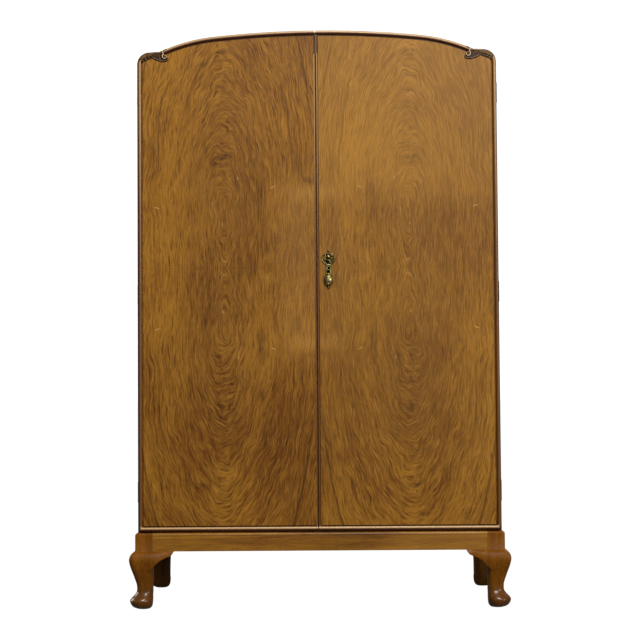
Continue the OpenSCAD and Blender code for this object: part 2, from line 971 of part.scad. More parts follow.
module handle_plate() {
    boss_z = lock_z + 14;
    color(aged_brass) translate([handle_x, 0, 0]) difference() {
        union() {
            upright(door_front_y - plate_t, door_front_y) plate_shape();
            translate([0, door_front_y, boss_z]) rotate([90, 0, 0]) cylinder(r = 6, h = 5, $fn = fine_fn);
            for (sx = [-1, 1])
                box([min(sx * lug_half, sx * (lug_half - lug_t)), max(sx * lug_half, sx * (lug_half - lug_t))],
                    [drop_y - 3, door_front_y], [drop_pivot_z - 3, drop_pivot_z + 3]);
        }
        translate([-10, drop_y, drop_pivot_z]) rotate([0, 90, 0])
            cylinder(r = drop_pin_r, h = 20, $fn = fine_fn);
    }
}

module handle_pin() {
    color(aged_brass) translate([handle_x - lug_half, drop_y, drop_pivot_z]) rotate([0, 90, 0])
        cylinder(r = drop_pin_r, h = 2 * lug_half, $fn = fine_fn);
}

// The drop: an eye, an openwork stem, a half-round bulb and a small ball
module handle_drop() {
    eye_half = lug_half - lug_t - 0.3;
    stem_w = 18;
    stem_t = 3.6;
    bar = 4;
    stem_h = 30;
    stem_z = drop_pivot_z - stem_h;
    bulb_r = 15.5;
    bulb_z = stem_z - 13;
    ball_z = drop_pivot_z - 72;
    back_of_drop = drop_y + 1.8;
    color(aged_brass) translate([handle_x, 0, 0]) {
        difference() {
            union() {
                translate([-eye_half, drop_y, drop_pivot_z]) rotate([0, 90, 0])
                    cylinder(r = 2.7, h = 2 * eye_half, $fn = fine_fn);
                translate([-eye_half, back_of_drop - stem_t, drop_pivot_z - 8])
                    cube([2 * eye_half, stem_t, 8]);
            }
            translate([-10, drop_y, drop_pivot_z]) rotate([0, 90, 0])
                cylinder(r = drop_pin_r + drop_pin_play, h = 20, $fn = fine_fn);
        }
        upright(back_of_drop - stem_t, back_of_drop) difference() {
            translate([-stem_w / 2, stem_z - 2]) square([stem_w, stem_h - 5.5]);
            for (z = [stem_z + 2, stem_z + 12])
                translate([-stem_w / 2 + bar, z]) square([stem_w - 2 * bar, 7]);
        }
        translate([0, back_of_drop, bulb_z]) intersection() {
            union() {
                sphere(r = bulb_r, $fn = fine_fn);
                translate([0, 0, -18]) cylinder(r1 = 8, r2 = 14, h = 10, $fn = fine_fn);
            }
            translate([-30, -30, -30]) cube([60, 30, 60]);
        }
        translate([0, back_of_drop - 4, ball_z]) {
            sphere(r = 4, $fn = fine_fn);
            cylinder(r = 2.5, h = bulb_z - ball_z - 12, $fn = fine_fn);
        }
    }
}

left_side();
right_side();
floor_board();
centre_division();
top_panel();
left_shoulder_block();
right_shoulder_block();
front_top_rail();
rear_top_rail();
left_back_panel();
right_back_panel();
back_screws();
hat_shelf();
hanging_rail();
rail_sockets();
shelf_1();
shelf_2();
shelf_3();
shelf_4();
shelf_cleats();
front_base_rail();
rear_base_rail();
left_base_rail();
right_base_rail();
base_bearer();
base_corner_blocks();
front_left_leg();
front_right_leg();
rear_left_leg();
rear_right_leg();
knee_brackets();
left_frame_leaves();
right_frame_leaves();
left_hinge_pins();
right_hinge_pins();
frame_screws();
lock_keep();
left_door_panel();
left_door_beads();
left_scroll();
left_door_leaves();
left_door_screws();
door_mirror();
mirror_clips();
top_bolt_plate();
top_bolt();
bottom_bolt_plate();
bottom_bolt();
right_door_panel();
right_door_beads();
meeting_bead();
right_scroll();
right_door_leaves();
right_door_screws();
tie_rail();
lock_case();
lock_bolt();
handle_plate();
handle_pin();
handle_drop();
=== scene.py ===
"""A two-door armoire with an arched top, on a low base with four cabriole legs."""

import math

import bmesh
import bpy
import numpy as np
from mathutils import Matrix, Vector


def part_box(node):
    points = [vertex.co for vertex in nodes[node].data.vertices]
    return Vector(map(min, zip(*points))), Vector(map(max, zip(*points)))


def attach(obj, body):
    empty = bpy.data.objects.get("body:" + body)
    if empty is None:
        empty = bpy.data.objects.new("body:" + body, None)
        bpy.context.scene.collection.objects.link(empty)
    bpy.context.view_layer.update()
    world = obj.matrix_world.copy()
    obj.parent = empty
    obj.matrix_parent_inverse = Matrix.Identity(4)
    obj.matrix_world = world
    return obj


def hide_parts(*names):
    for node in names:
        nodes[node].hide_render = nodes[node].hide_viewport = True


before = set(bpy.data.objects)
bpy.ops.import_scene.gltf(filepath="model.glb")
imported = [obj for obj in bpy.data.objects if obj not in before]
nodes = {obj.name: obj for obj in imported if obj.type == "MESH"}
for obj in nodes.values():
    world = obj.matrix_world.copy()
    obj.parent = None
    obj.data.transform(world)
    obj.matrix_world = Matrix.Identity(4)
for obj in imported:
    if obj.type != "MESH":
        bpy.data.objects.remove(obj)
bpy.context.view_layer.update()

# ---------------------------------------------------------------------------
# The room. A pale floor and a white surround that only the camera sees, a grey
# sky for the fill light, and five large soft lamps. None of it is the armoire.
# ---------------------------------------------------------------------------


def paint(red, green, blue):
    """A colour as a screen shows it, from 0 to 255, in the linear numbers that a shader takes."""
    return [(part / 255) ** 2.2 for part in (red, green, blue)] + [1.0]


class Shade:
    """A value that changes over a surface. Arithmetic on it adds the Math nodes that work it out."""

    def __init__(self, finish, socket):
        self.finish = finish
        self.socket = socket

    def maths(self, operation, *values):
        return self.finish.node("ShaderNodeMath", {"operation": operation}, dict(enumerate(values)))

    def __add__(self, other):
        return self.maths("ADD", self, other)

    def __sub__(self, other):
        return self.maths("SUBTRACT", self, other)

    def __rsub__(self, other):
        return self.maths("SUBTRACT", other, self)

    def __mul__(self, other):
        return self.maths("MULTIPLY", self, other)

    def __truediv__(self, other):
        return self.maths("DIVIDE", self, other)

    def __pow__(self, other):
        return self.maths("POWER", self, other)

    def __abs__(self):
        return self.maths("ABSOLUTE", self)

    __radd__, __rmul__ = __add__, __mul__

    def over(self, least):
        return self.maths("MAXIMUM", self, least)

    def rise(self, low, high):
        """0 below low, 1 above high, and a smooth step between them."""
        values = {"Value": self, "From Min": low, "From Max": high}
        return self.finish.node("ShaderNodeMapRange", {"interpolation_type": "SMOOTHSTEP"}, values)

    def near(self, middle, reach):
        """1 at middle, falling smoothly to 0 at reach to either side of it."""
        return 1 - abs(self - middle).rise(0.0, reach)


class Finish:
    """A material of one shader. What is the same all over is set on its sockets, and the rest is nodes."""

    def __init__(self, name, **same):
        self.material = bpy.data.materials.new(name)
        self.material.use_nodes = True
        self.tree = self.material.node_tree
        self.shader = self.tree.nodes["Principled BSDF"]
        for socket, value in same.items():
            self.shader.inputs[socket.replace("_", " ")].default_value = value

    def node(self, kind, settings, values, out=0):
        """A node of that kind, with its settings made first and then its sockets set or linked."""
        made = self.tree.nodes.new(kind)
        for setting, value in settings.items():
            setattr(made, setting, value)
        for socket, value in values.items():
            if isinstance(value, Shade):
                self.tree.links.new(value.socket, made.inputs[socket])
            else:
                made.inputs[socket].default_value = value
        return Shade(self, made.outputs[out])

    def place(self):
        return self.node("ShaderNodeTexCoord", {}, {}, "Object")

    def own_map(self):
        return self.node("ShaderNodeUVMap", {"uv_map": "laid"}, {})

    def parts(self, vector):
        whole = self.node("ShaderNodeSeparateXYZ", {}, {0: vector})
        return [Shade(self, socket) for socket in whole.socket.node.outputs]

    def point(self, *parts):
        return self.node("ShaderNodeCombineXYZ", {}, dict(enumerate(parts)))

    def stretched(self, vector, factors):
        return self.node("ShaderNodeVectorMath", {"operation": "MULTIPLY"}, {0: vector, 1: factors})

    def noise(self, vector, detail=2.0, roughness=0.5, distortion=0.0, scale=1.0):
        values = {"Vector": vector, "Scale": scale, "Detail": detail, "Roughness": roughness}
        return self.node("ShaderNodeTexNoise", {}, {**values, "Distortion": distortion})

    def blend(self, share, first, second):
        """The first colour where share is 0 and the second where it is 1."""
        return self.node("ShaderNodeMix", {"data_type": "RGBA"}, {0: share, 6: first, 7: second}, 2)

    def relief(self, height, depth):
        """Bumps of that depth in metres, where height goes from 0 to 1."""
        self.feed("Normal", self.node("ShaderNodeBump", {}, {"Height": height, "Distance": depth}))

    def feed(self, socket, shade):
        self.tree.links.new(shade.socket, self.shader.inputs[socket])

    def colour_so_far(self):
        return Shade(self, self.shader.inputs["Base Color"].links[0].from_socket)

    def tint(self, share, colour):
        """Lays a colour over the base colour made so far, as much as share says."""
        self.feed("Base Color", self.blend(share, self.colour_so_far(), paint(*colour)))


def add_object(name, mesh, material):
    made = bpy.data.objects.new(name, mesh)
    bpy.context.scene.collection.objects.link(made)
    mesh.materials.append(material)
    return made


def only_for_camera(thing):
    thing.visible_diffuse = False
    thing.visible_glossy = False
    thing.visible_transmission = False
    thing.visible_shadow = False


def full_turn(sides):
    """Angles spaced evenly round a circle, as a row."""
    return np.linspace(0, 2 * math.pi, sides, endpoint=False)[None, :]


def dome_points(radius, rows, columns):
    """A sphere: radius times (cos up cos round, cos up sin round, sin up)."""
    up = np.linspace(-math.pi / 2, math.pi / 2, rows)[:, None]
    turn = full_turn(columns)
    parts = (np.cos(up) * np.cos(turn), np.cos(up) * np.sin(turn), np.sin(up) + 0 * turn)
    return radius * np.stack(parts, -1).reshape(-1, 3)


def grid_faces(rows, columns):
    """Quads between the rows of a grid of points, where each row is a ring that closes on itself."""
    row, column = np.meshgrid(np.arange(rows - 1), np.arange(columns), indexing="ij")
    low, beside = row * columns, (column + 1) % columns
    high = low + columns
    return np.stack([low + column, low + beside, high + beside, high + column], -1).reshape(-1, 4)


room_r = 40.0
dome_rows, dome_columns = 25, 48
dome = bpy.data.meshes.new("surround")
dome_faces = grid_faces(dome_rows, dome_columns).tolist()
dome.from_pydata(dome_points(room_r, dome_rows, dome_columns).tolist(), [], dome_faces)
surround_finish = Finish(
    "surround", Base_Color=(0, 0, 0, 1), Emission_Color=(1, 1, 1, 1), Emission_Strength=1.1,
)
surround = add_object("surround", dome, surround_finish.material)
only_for_camera(surround)

sheet = bpy.data.meshes.new("floor")
corners = [(-room_r, -room_r, 0), (room_r, -room_r, 0), (room_r, room_r, 0), (-room_r, room_r, 0)]
sheet.from_pydata(corners, [], [(0, 1, 2, 3)])
floor_finish = Finish(
    "floor", Base_Color=(0.05, 0.05, 0.05, 1), Roughness=0.9, Specular_IOR_Level=0.0,
    Emission_Color=(1, 1, 1, 1), Emission_Strength=1.0,
)
floor = add_object("floor", sheet, floor_finish.material)
only_for_camera(floor)

world = bpy.data.worlds.new("grey_sky")
bpy.context.scene.world = world
world.use_nodes = True
sky = world.node_tree.nodes["Background"].inputs
sky["Color"].default_value = (1.0, 0.98, 0.95, 1)
sky["Strength"].default_value = 0.1


def add_lamp(name, spot, aim, size, watts):
    """A soft square lamp at a spot, turned to shine at a point."""
    lamp = bpy.data.lights.new(name, "AREA")
    lamp.size = size
    lamp.energy = watts
    lamp.color = (1.0, 0.97, 0.93)
    made = bpy.data.objects.new(name, lamp)
    bpy.context.scene.collection.objects.link(made)
    back = np.array(spot, float) - np.array(aim, float)
    back /= np.linalg.norm(back)
    side = np.cross((0, 0, 1), back)
    side /= np.linalg.norm(side)
    turn = np.eye(4)
    turn[:3, 0], turn[:3, 1], turn[:3, 2], turn[:3, 3] = side, np.cross(back, side), back, spot
    made.matrix_world = Matrix(turn.tolist())
    made.visible_camera = False


add_lamp("key_lamp", (0.5, -4.4, 5.8), (0, 0, 0.9), 1.8, 250)
add_lamp("side_lamp", (5.5, -6.5, 2.6), (0, 0, 1.0), 2.6, 230)
add_lamp("haze_lamp", (1.7, -7.5, 4.6), (0.2, 0, 1.2), 2.4, 65)
add_lamp("rear_lamp", (1.5, 4.5, 4.0), (0, 0, 1.0), 3.0, 150)
add_lamp("left_lamp", (-5.0, 2.4, 2.4), (0, 0, 1.0), 2.6, 120)

# The camera stands at about table height, a little to the right of the middle, and looks slightly up.
camera_spot = (0.060753, -4.815748, 0.725637)
camera_left, camera_up, camera_roll = (math.radians(a) for a in (0.688, 2.299, -0.430))
camera_data = bpy.data.cameras.new("camera")
camera_data.sensor_width = 36.0
camera_data.lens = 80.87
camera_data.clip_end = 200.0
camera = bpy.data.objects.new("camera", camera_data)
bpy.context.scene.collection.objects.link(camera)
bpy.context.scene.camera = camera
camera.matrix_world = (
    Matrix.Translation(camera_spot)
    @ Matrix.Rotation(camera_left, 4, "Z")
    @ Matrix.Rotation(math.pi / 2 + camera_up, 4, "X")
    @ Matrix.Rotation(camera_roll, 4, "Z")
)
bpy.context.scene.view_settings.view_transform = "Standard"

# ---------------------------------------------------------------------------
# Carcase: two veneered sides, a thin top bent over the arch, and a shaped block
# at each shoulder that joins them. The sides and blocks are glued and lipped.
# ---------------------------------------------------------------------------

mm = 0.001
half_w = 575 * mm
arch_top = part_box("left_door_beads")[1].z
crown_r = 3200 * mm
crown_half_w = 330 * mm
haunch_r = 550 * mm
shoulder_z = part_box("left_scroll")[1].z
shoulder_r = 40 * mm
case_inset = 1 * mm
top_t = 9 * mm
top_half_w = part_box("top_panel")[1].x
case_front_y, case_back_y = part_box("left_side")[0].y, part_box("left_side")[1].y


def arch_height(x, inset=0.0):
    """The arch's height at x: a wide circle in the middle, and a small one from where they touch."""
    x = np.abs(np.asarray(x, float))
    tilt = math.asin(crown_half_w / crown_r)
    crown_z = arch_top - crown_r
    haunch_x = crown_half_w - haunch_r * math.sin(tilt)
    haunch_z = crown_z + (crown_r - haunch_r) * math.cos(tilt)
    split = crown_half_w - inset * math.sin(tilt)
    crown = crown_z + np.sqrt(np.maximum((crown_r - inset) ** 2 - x**2, 0))
    haunch = haunch_z + np.sqrt(np.maximum((haunch_r - inset) ** 2 - (x - haunch_x) ** 2, 0))
    return np.where(x <= split, crown, haunch)


def build(name, shells, material, sharp=40.0, merge=True):
    """One object of several shells, each (points, faces) or (points, faces, map), where a map is two numbers
    a point. Edges that turn by more than sharp degrees stay sharp."""
    parts = [shell[0].reshape(-1, 3) for shell in shells]
    starts = np.cumsum([0] + [len(part) for part in parts]).tolist()
    faces = [[i + start for i in face] for shell, start in zip(shells, starts) for face in shell[1]]
    mesh = bpy.data.meshes.new(name)
    mesh.from_pydata(np.concatenate(parts).tolist(), [], faces)
    if len(shells[0]) > 2:
        laid = np.concatenate([shell[2].reshape(-1, 2) for shell in shells])
        corner = np.zeros(len(mesh.loops), int)
        mesh.loops.foreach_get("vertex_index", corner)
        layer = mesh.uv_layers.new(name="laid")
        layer.data.foreach_set("uv", laid[corner].astype(np.float32).ravel())
    work = bmesh.new()
    work.from_mesh(mesh)
    if merge:
        bmesh.ops.remove_doubles(work, verts=work.verts, dist=2e-6)
    bmesh.ops.recalc_face_normals(work, faces=work.faces)
    work.to_mesh(mesh)
    work.free()
    mesh.shade_smooth()
    mesh.set_sharp_from_angle(angle=math.radians(sharp))
    return add_object(name, mesh, material)


def closed(points):
    """A shell from rows of points, each row a ring: quads between the rows and one face over each end."""
    rows, columns = points.shape[:2]
    ends = [list(range(columns))[::-1], list(range((rows - 1) * columns, rows * columns))]
    return points, grid_faces(rows, columns).tolist() + ends


def cover(finish, *names):
    """Gives a finish to pieces whose plain shape is right already."""
    for name in names:
        nodes[name].data.materials[0] = finish.material


def soften(thing, width):
    """Rounds a thing's arrises by that width."""
    weld = thing.modifiers.new("weld", "WELD")
    weld.merge_threshold = 1e-5
    bevel = thing.modifiers.new("arris", "BEVEL")
    bevel.width = width
    bevel.segments = 2
    bevel.limit_method = "ANGLE"
    bevel.angle_limit = math.radians(50)
    bevel.harden_normals = True


def wood(name, dark, light, stretch, roughness=0.42, coat=0.12, laid=False, offset=0.0, shine=0.35):
    """Straight-grained wood. Noise drawn out along the grain goes from the dark to the light colour, and
    much finer noise, cut off low down, leaves open pores that are darker, duller and slightly sunk. offset
    moves the grain, so that no two woods show the same piece of it."""
    finish = Finish(name, Coat_Weight=coat, Coat_Roughness=0.22, Specular_IOR_Level=shine)
    where = finish.own_map() if laid else finish.place()
    where = finish.node("ShaderNodeVectorMath", {"operation": "ADD"}, {0: where, 1: [offset] * 3})

    def grain(finer, **kind):
        return finish.noise(finish.stretched(where, [finer * across for across in stretch]), **kind)

    bend = grain(0.16, detail=2)
    broad = grain(1, detail=3, roughness=0.55, distortion=0.6)
    fine = grain(7, detail=2, roughness=0.6)
    pore = grain(16, detail=1).rise(0.36, 0.28)
    tone = (broad * 0.9 + fine * 0.5 + bend * 0.5 - 0.45).rise(0.22, 0.78)
    pore_shade = 0.45
    finish.feed("Base Color", finish.blend(tone, paint(*dark), paint(*light)))
    finish.tint(pore * 0.75, [pore_shade * part for part in dark])
    finish.feed("Roughness", roughness + 0.10 * (0.5 - tone) + 0.18 * pore)
    finish.relief(fine * 0.3 - pore * 0.7, 0.00012)
    return finish


case_colours = (92, 55, 20), (146, 98, 40)
case_upright = wood("case_walnut_upright", *case_colours, (42, 42, 2.6))
case_across = wood("case_walnut_across", *case_colours, (2.6, 42, 42), offset=3.1)

cover(case_upright, "left_side", "right_side")
for side in ("left_side", "right_side"):
    soften(nodes[side], 0.8 * mm)


def bent_board(xs, inset, thickness, y0, y1):
    """A thin board bent over the arch: at each x a flat rectangle from y0 to y1, thickness deep."""
    outer, inner = arch_height(xs, inset), arch_height(xs, inset + thickness)
    ring = [(y0, outer), (y1, outer), (y1, inner), (y0, inner)]
    return closed(np.stack([np.stack([xs, np.full_like(xs, y), z], -1) for y, z in ring], 1))


def extruded(outline, y0, y1):
    """A flat outline in X and Z, drawn as rows of points, pushed through from y0 to y1."""
    outline = np.asarray(outline, float)
    return closed(np.stack([np.insert(outline, 1, y, axis=1) for y in (y0, y1)]))


def arc(cx, cz, radius, start, end, count=24):
    """Points round a circle from one angle to another, in degrees."""
    turn = np.radians(np.linspace(start, end, count))
    return np.stack([cx + radius * np.cos(turn), cz + radius * np.sin(turn)], -1)


top_xs = np.linspace(-top_half_w, top_half_w, 241)
top_board = bent_board(top_xs, case_inset, top_t, case_front_y, case_back_y)
top_piece = build("bent_top", [top_board], case_across.material)
soften(top_piece, 1.2 * mm)
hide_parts("top_panel")
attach(top_piece, "carcase")

back_rebate_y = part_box("left_back_panel")[0].y
side_top_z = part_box("left_side")[1].z
board_t = 18 * mm
soffit_z = shoulder_z - 27 * mm
corner_x, corner_z = half_w - shoulder_r, shoulder_z - shoulder_r

case_x = half_w - case_inset
case_top_z = shoulder_z - case_inset
inner_x = case_x - board_t
round_edge = arc(corner_x, corner_z, shoulder_r - case_inset, 90, 0)
inner_round = arc(corner_x, corner_z, shoulder_r - case_inset - top_t, 0, 90)
solid_part = np.concatenate([
    [(top_half_w, case_top_z)], round_edge,
    [(case_x, side_top_z), (inner_x, side_top_z), (inner_x, soffit_z), (top_half_w, soffit_z)],
])
# Behind the back panels only a skin as thick as the top goes on to the back edge.
thin_part = np.concatenate([
    [(top_half_w, case_top_z)], round_edge, [(case_x, side_top_z), (case_x - top_t, side_top_z)],
    inner_round, [(top_half_w, case_top_z - top_t)],
])
for side, sign in (("left", -1), ("right", 1)):
    shells = [
        extruded(solid_part * (sign, 1), case_front_y, back_rebate_y),
        extruded(thin_part * (sign, 1), back_rebate_y, case_back_y),
    ]
    shoulder = build(f"{side}_shoulder", shells, case_across.material)
    soften(shoulder, 0.8 * mm)
    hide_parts(f"{side}_shoulder_block")
    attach(shoulder, "carcase")

# ---------------------------------------------------------------------------
# Base frame: solid rails tenoned into four square posts, each post in one piece
# with its cabriole leg and pad foot, and a pair of shaped ears glued beside it.
# ---------------------------------------------------------------------------

base_top_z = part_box("front_base_rail")[1].z
base_low_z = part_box("front_base_rail")[0].z
base_front_y, base_back_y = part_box("front_base_rail")[0].y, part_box("rear_base_rail")[1].y
base_half_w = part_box("right_base_rail")[1].x
base_half_d = (base_back_y - base_front_y) / 2
post_w = 55 * mm
rail_t = 25 * mm
edge_r = 6.5 * mm

base_colours = (110, 66, 16), (172, 119, 40)
rail_lengthwise = wood("base_walnut_long", *base_colours, (2.8, 40, 55), roughness=0.4, offset=1.7)
rail_depthwise = wood("base_walnut_deep", *base_colours, (40, 2.8, 55), roughness=0.4, offset=5.3)
leg_grain = (44, 44, 4)
leg_walnut = wood("leg_walnut", (112, 67, 16), (146, 92, 26), leg_grain, coat=0.0, offset=2.9, shine=0.14)
# The rear legs take a darker copy of the leg walnut as painted shade, since they stand in the carcase's
# shadow.
rear_leg_shade_walnut = wood("rear_leg_painted_shade_walnut", (62, 37, 11), (104, 67, 26), leg_grain, coat=0.0, offset=4.4, shine=0.1)
# The front rail is darkest a little right of its middle and painted paler beyond that, as painted light from
# the right, and a line of painted shade runs under the rails' rounded edge.
for finish in (rail_lengthwise, rail_depthwise):
    x, _, z = finish.parts(finish.place())
    finish.tint(x.near(0.07, 0.2) * 0.3, (70, 40, 10))
    finish.tint(x.rise(0.16, 0.3) * 0.25, (196, 140, 56))
    finish.tint(z.near(base_top_z - 8.0 * mm, 2.2 * mm) * 0.5, (64, 34, 8))
# The pad feet keep a gloss that the legs above them have lost.
foot_share = 1 - leg_walnut.parts(leg_walnut.place())[2].rise(0.05, 0.085)
leg_walnut.feed("Coat Weight", foot_share * 0.85)
leg_walnut.tint(foot_share * 0.4, (50, 25, 5))

# The frame's rounded top arris, and a rail's whole section, as (inwards from the face, height).
frame_arris = arc(edge_r, base_top_z - edge_r, edge_r, 180, 90, 9)
rail_section = np.concatenate([
    [(0, base_low_z)], frame_arris, [(rail_t, base_top_z), (rail_t, base_low_z)],
])


def rail(reach, face, lengthwise, sign):
    """A straight rail of that section from -reach to reach, its face at face times sign."""
    steps = np.array([-reach, reach])[:, None]
    out = sign * (face - rail_section[:, 0])[None, :] + 0 * steps
    along = steps + 0 * out
    height = rail_section[:, 1][None, :] + 0 * steps
    return closed(np.stack((along, out, height) if lengthwise else (out, along, height), -1))


for name, lengthwise, sign in (
    ("front", True, -1), ("rear", True, 1), ("left", False, -1), ("right", False, 1)
):
    reach = (base_half_w if lengthwise else base_half_d) - post_w
    face = base_half_d if lengthwise else base_half_w
    finish = rail_lengthwise if lengthwise else rail_depthwise
    made = build(f"{name}_rail", [rail(reach, face, lengthwise, sign)], finish.material, sharp=35)
    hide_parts(f"{name}_base_rail")
    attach(made, "carcase")

# A leg from the floor up: height, outward swell, inner edge, and how square the section is.
leg_rows = np.array([
    (0, -5, -43, 2), (1.5, -1, -46, 2), (5, 7, -49.5, 2), (12, 14, -53, 2), (25, 18.5, -54.5, 2.1),
    (34, 13.5, -54.5, 2.2), (42, 5.5, -54, 2.3), (52, -1.5, -54, 2.5), (64, -3, -54, 2.8),
    (76, -2, -54, 3), (92, 2.5, -54.5, 3.3), (112, 9, -55, 3.6), (132, 15.5, -55, 4.2),
    (152, 19.4, -55, 5), (164, 17.5, -55, 6), (173, 12.5, -55, 8), (178.5, 6, -55, 12),
    (180.6, 0.6, -55, 16),
]) * (mm, mm, mm, 1)
rear_ankle_out = 11 * mm


def through(points, count):
    """A smooth curve through the points: between two of them it is a cubic, with each point's slope taken
    from its neighbours on either side."""
    points = np.asarray(points, float)
    padded = np.concatenate([2 * points[:1] - points[1:2], points, 2 * points[-1:] - points[-2:-1]])
    place = np.linspace(0, len(points) - 1, count)
    start = np.minimum(place.astype(int), len(points) - 2)
    t = (place - start)[:, None]
    before, first, second, after = (padded[start + k] for k in range(4))
    return 0.5 * (
        2 * first + (second - before) * t + (2 * before - 5 * first + 4 * second - after) * t**2
        + (3 * first - before - 3 * second + after) * t**3
    )


def squared_ring(turn, power):
    """A squared circle: the sine and cosine, each raised to 2 over the power and given back its sign."""
    def part(wave):
        return np.sign(wave) * np.abs(wave) ** (2 / power)
    return part(np.cos(turn)), part(np.sin(turn))


def leg_points(least_swell):
    """Rings of a squared circle up the leg, then up the post, whose two outer faces turn in at the top.
    Between the foot and the knee the leg swells at least so much."""
    rows = through(leg_rows, 120)
    shank = (rows[:, 0] > 34 * mm) & (rows[:, 0] < 130 * mm)
    rows[:, 1] = np.where(shank, np.maximum(rows[:, 1], least_swell), rows[:, 1])
    post_power = 40
    inset, height = frame_arris.T
    post = np.stack([height, -inset, np.full_like(inset, -post_w), np.full_like(inset, post_power)], -1)
    low_post = [(base_low_z + 0.2 * mm, 0, -post_w, post_power)]
    rows = np.concatenate([rows, low_post, post])
    sides = 88
    across, deep = squared_ring(full_turn(sides) + math.pi / sides, rows[:, 3:4])
    middle, half = (rows[:, 1] + rows[:, 2])[:, None] / 2, (rows[:, 1] - rows[:, 2])[:, None] / 2
    return np.stack([middle + half * across, middle + half * deep, rows[:, :1] + 0 * across], -1)


front_leg, rear_leg = leg_points(least_swell=-1.0), leg_points(least_swell=rear_ankle_out)
corners = [
    ("front_left", -1, -1), ("front_right", 1, -1), ("rear_left", -1, 1), ("rear_right", 1, 1),
]
for name, sx, sy in corners:
    shape, finish = (rear_leg, rear_leg_shade_walnut) if sy > 0 else (front_leg, leg_walnut)
    placed = (shape + (base_half_w, base_half_d, 0)) * (sx, sy, 1)
    made = build(f"{name}_cabriole", [closed(placed)], finish.material, sharp=50)
    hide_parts(f"{name}_leg")
    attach(made, "carcase")

# An ear's drop below the rail, against its distance from the base frame's outer corner.
ear_drop = np.array([
    (24, 62), (44, 60), (50, 57), (55, 52), (60, 46), (67, 39), (74, 33), (82, 27.5), (92, 22.6),
    (102, 18.8), (110, 15.4), (113, 13.6), (117, 8), (121, 0.6),
]) * mm
ear_back = 22 * mm
arris_r = 2.4 * mm


def ear_points():
    """Upright slices along the ear. Each goes down its front, which swells as the leg's knee does at the
    same height and less towards the tip, round the lower arris, and back up behind."""
    path = through(ear_drop, 60)
    reach, drop = path[:, :1], np.maximum(path[:, 1:], 0.5 * mm)
    round_r = np.minimum(arris_r, drop * 0.45)
    share = np.linspace(0, 1, 18)[None, :] ** 1.5
    down = (drop - round_r) * share
    leg = through(leg_rows, 120)
    toward_tip = np.clip((reach - 46 * mm) / (70 * mm), 0, 1)
    fade = 0.985 - 0.62 * toward_tip**2 * (3 - 2 * toward_tip)

    def swell(below):
        return np.interp(base_low_z - below, leg[:, 0], leg[:, 1]) * fade

    turn = np.radians(np.linspace(15, 90, 6))[None, :]
    low_swell = swell(drop - round_r)
    front = np.stack([reach + 0 * down, swell(down), -down], -1)
    arris_y = low_swell - round_r * (1 - np.cos(turn))
    arris = np.stack([reach + 0 * turn, arris_y, -(drop - round_r) - round_r * np.sin(turn)], -1)
    behind = np.stack([reach, -ear_back + 0 * drop, -drop], -1)
    above = np.stack([reach, -ear_back + 0 * drop, 0 * drop], -1)
    return np.concatenate([front, arris, behind, above], 1)


reach, swell, up = np.moveaxis(ear_points(), -1, 0)
ears = []
for _, sx, sy in corners:
    front = np.stack([sx * (base_half_w - reach), sy * (base_half_d + swell), base_low_z + up], -1)
    flank = np.stack([sx * (base_half_w + swell), sy * (base_half_d - reach), base_low_z + up], -1)
    ears += [closed(front), closed(flank)]
ear_piece = build("leg_ears", ears, leg_walnut.material, sharp=50)
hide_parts("knee_brackets")
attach(ear_piece, "carcase")

# ---------------------------------------------------------------------------
# Doors: flat panels faced with four matched leaves of walnut, cut so that the
# figure mirrors across the gap between the doors and across one level joint.
# ---------------------------------------------------------------------------

door_face_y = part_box("left_door_panel")[0].y
door_back_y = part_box("left_door_panel")[1].y
door_depth = door_back_y - door_face_y
door_low_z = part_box("left_door_beads")[0].z
left_door_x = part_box("left_door_beads")[1].x
right_door_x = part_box("meeting_bead")[0].x
meeting_x = (left_door_x + right_door_x) / 2
leaf_joint_z = 1.077
eye_x, eye_z = 0.293, 0.205

# Marks in the figure, in metres from the gap and from the level joint. A line that follows the ovals is
# (distance from the eye, half width, strength), a soft dark spot (across, height, half width, half height,
# strength), and a small pale nick (across, height, half width, half height, slant).
oval_lines = (
    (0.2195, 0.0045, 0.5), (0.236, 0.003, 0.3), (0.249, 0.0035, 0.4), (0.264, 0.003, 0.3),
)
dark_spots = (
    (0.066, 0.180, 0.022, 0.040, 0.34), (0.178, 0.240, 0.015, 0.085, 0.30),
    (0.212, 0.0, 0.028, 0.045, 0.34), (0.300, 0.330, 0.045, 0.012, 0.20),
    (0.150, 0.070, 0.020, 0.040, 0.20), (0.430, 0.120, 0.014, 0.070, 0.18),
)
pale_nicks = (
    (0.138, 0.258, 0.010, 0.0026, -0.5), (0.508, 0.194, 0.012, 0.0026, 0.3),
    (0.299, 0.140, 0.0022, 0.007, 0.0), (0.250, 0.286, 0.0024, 0.008, 0.0),
)


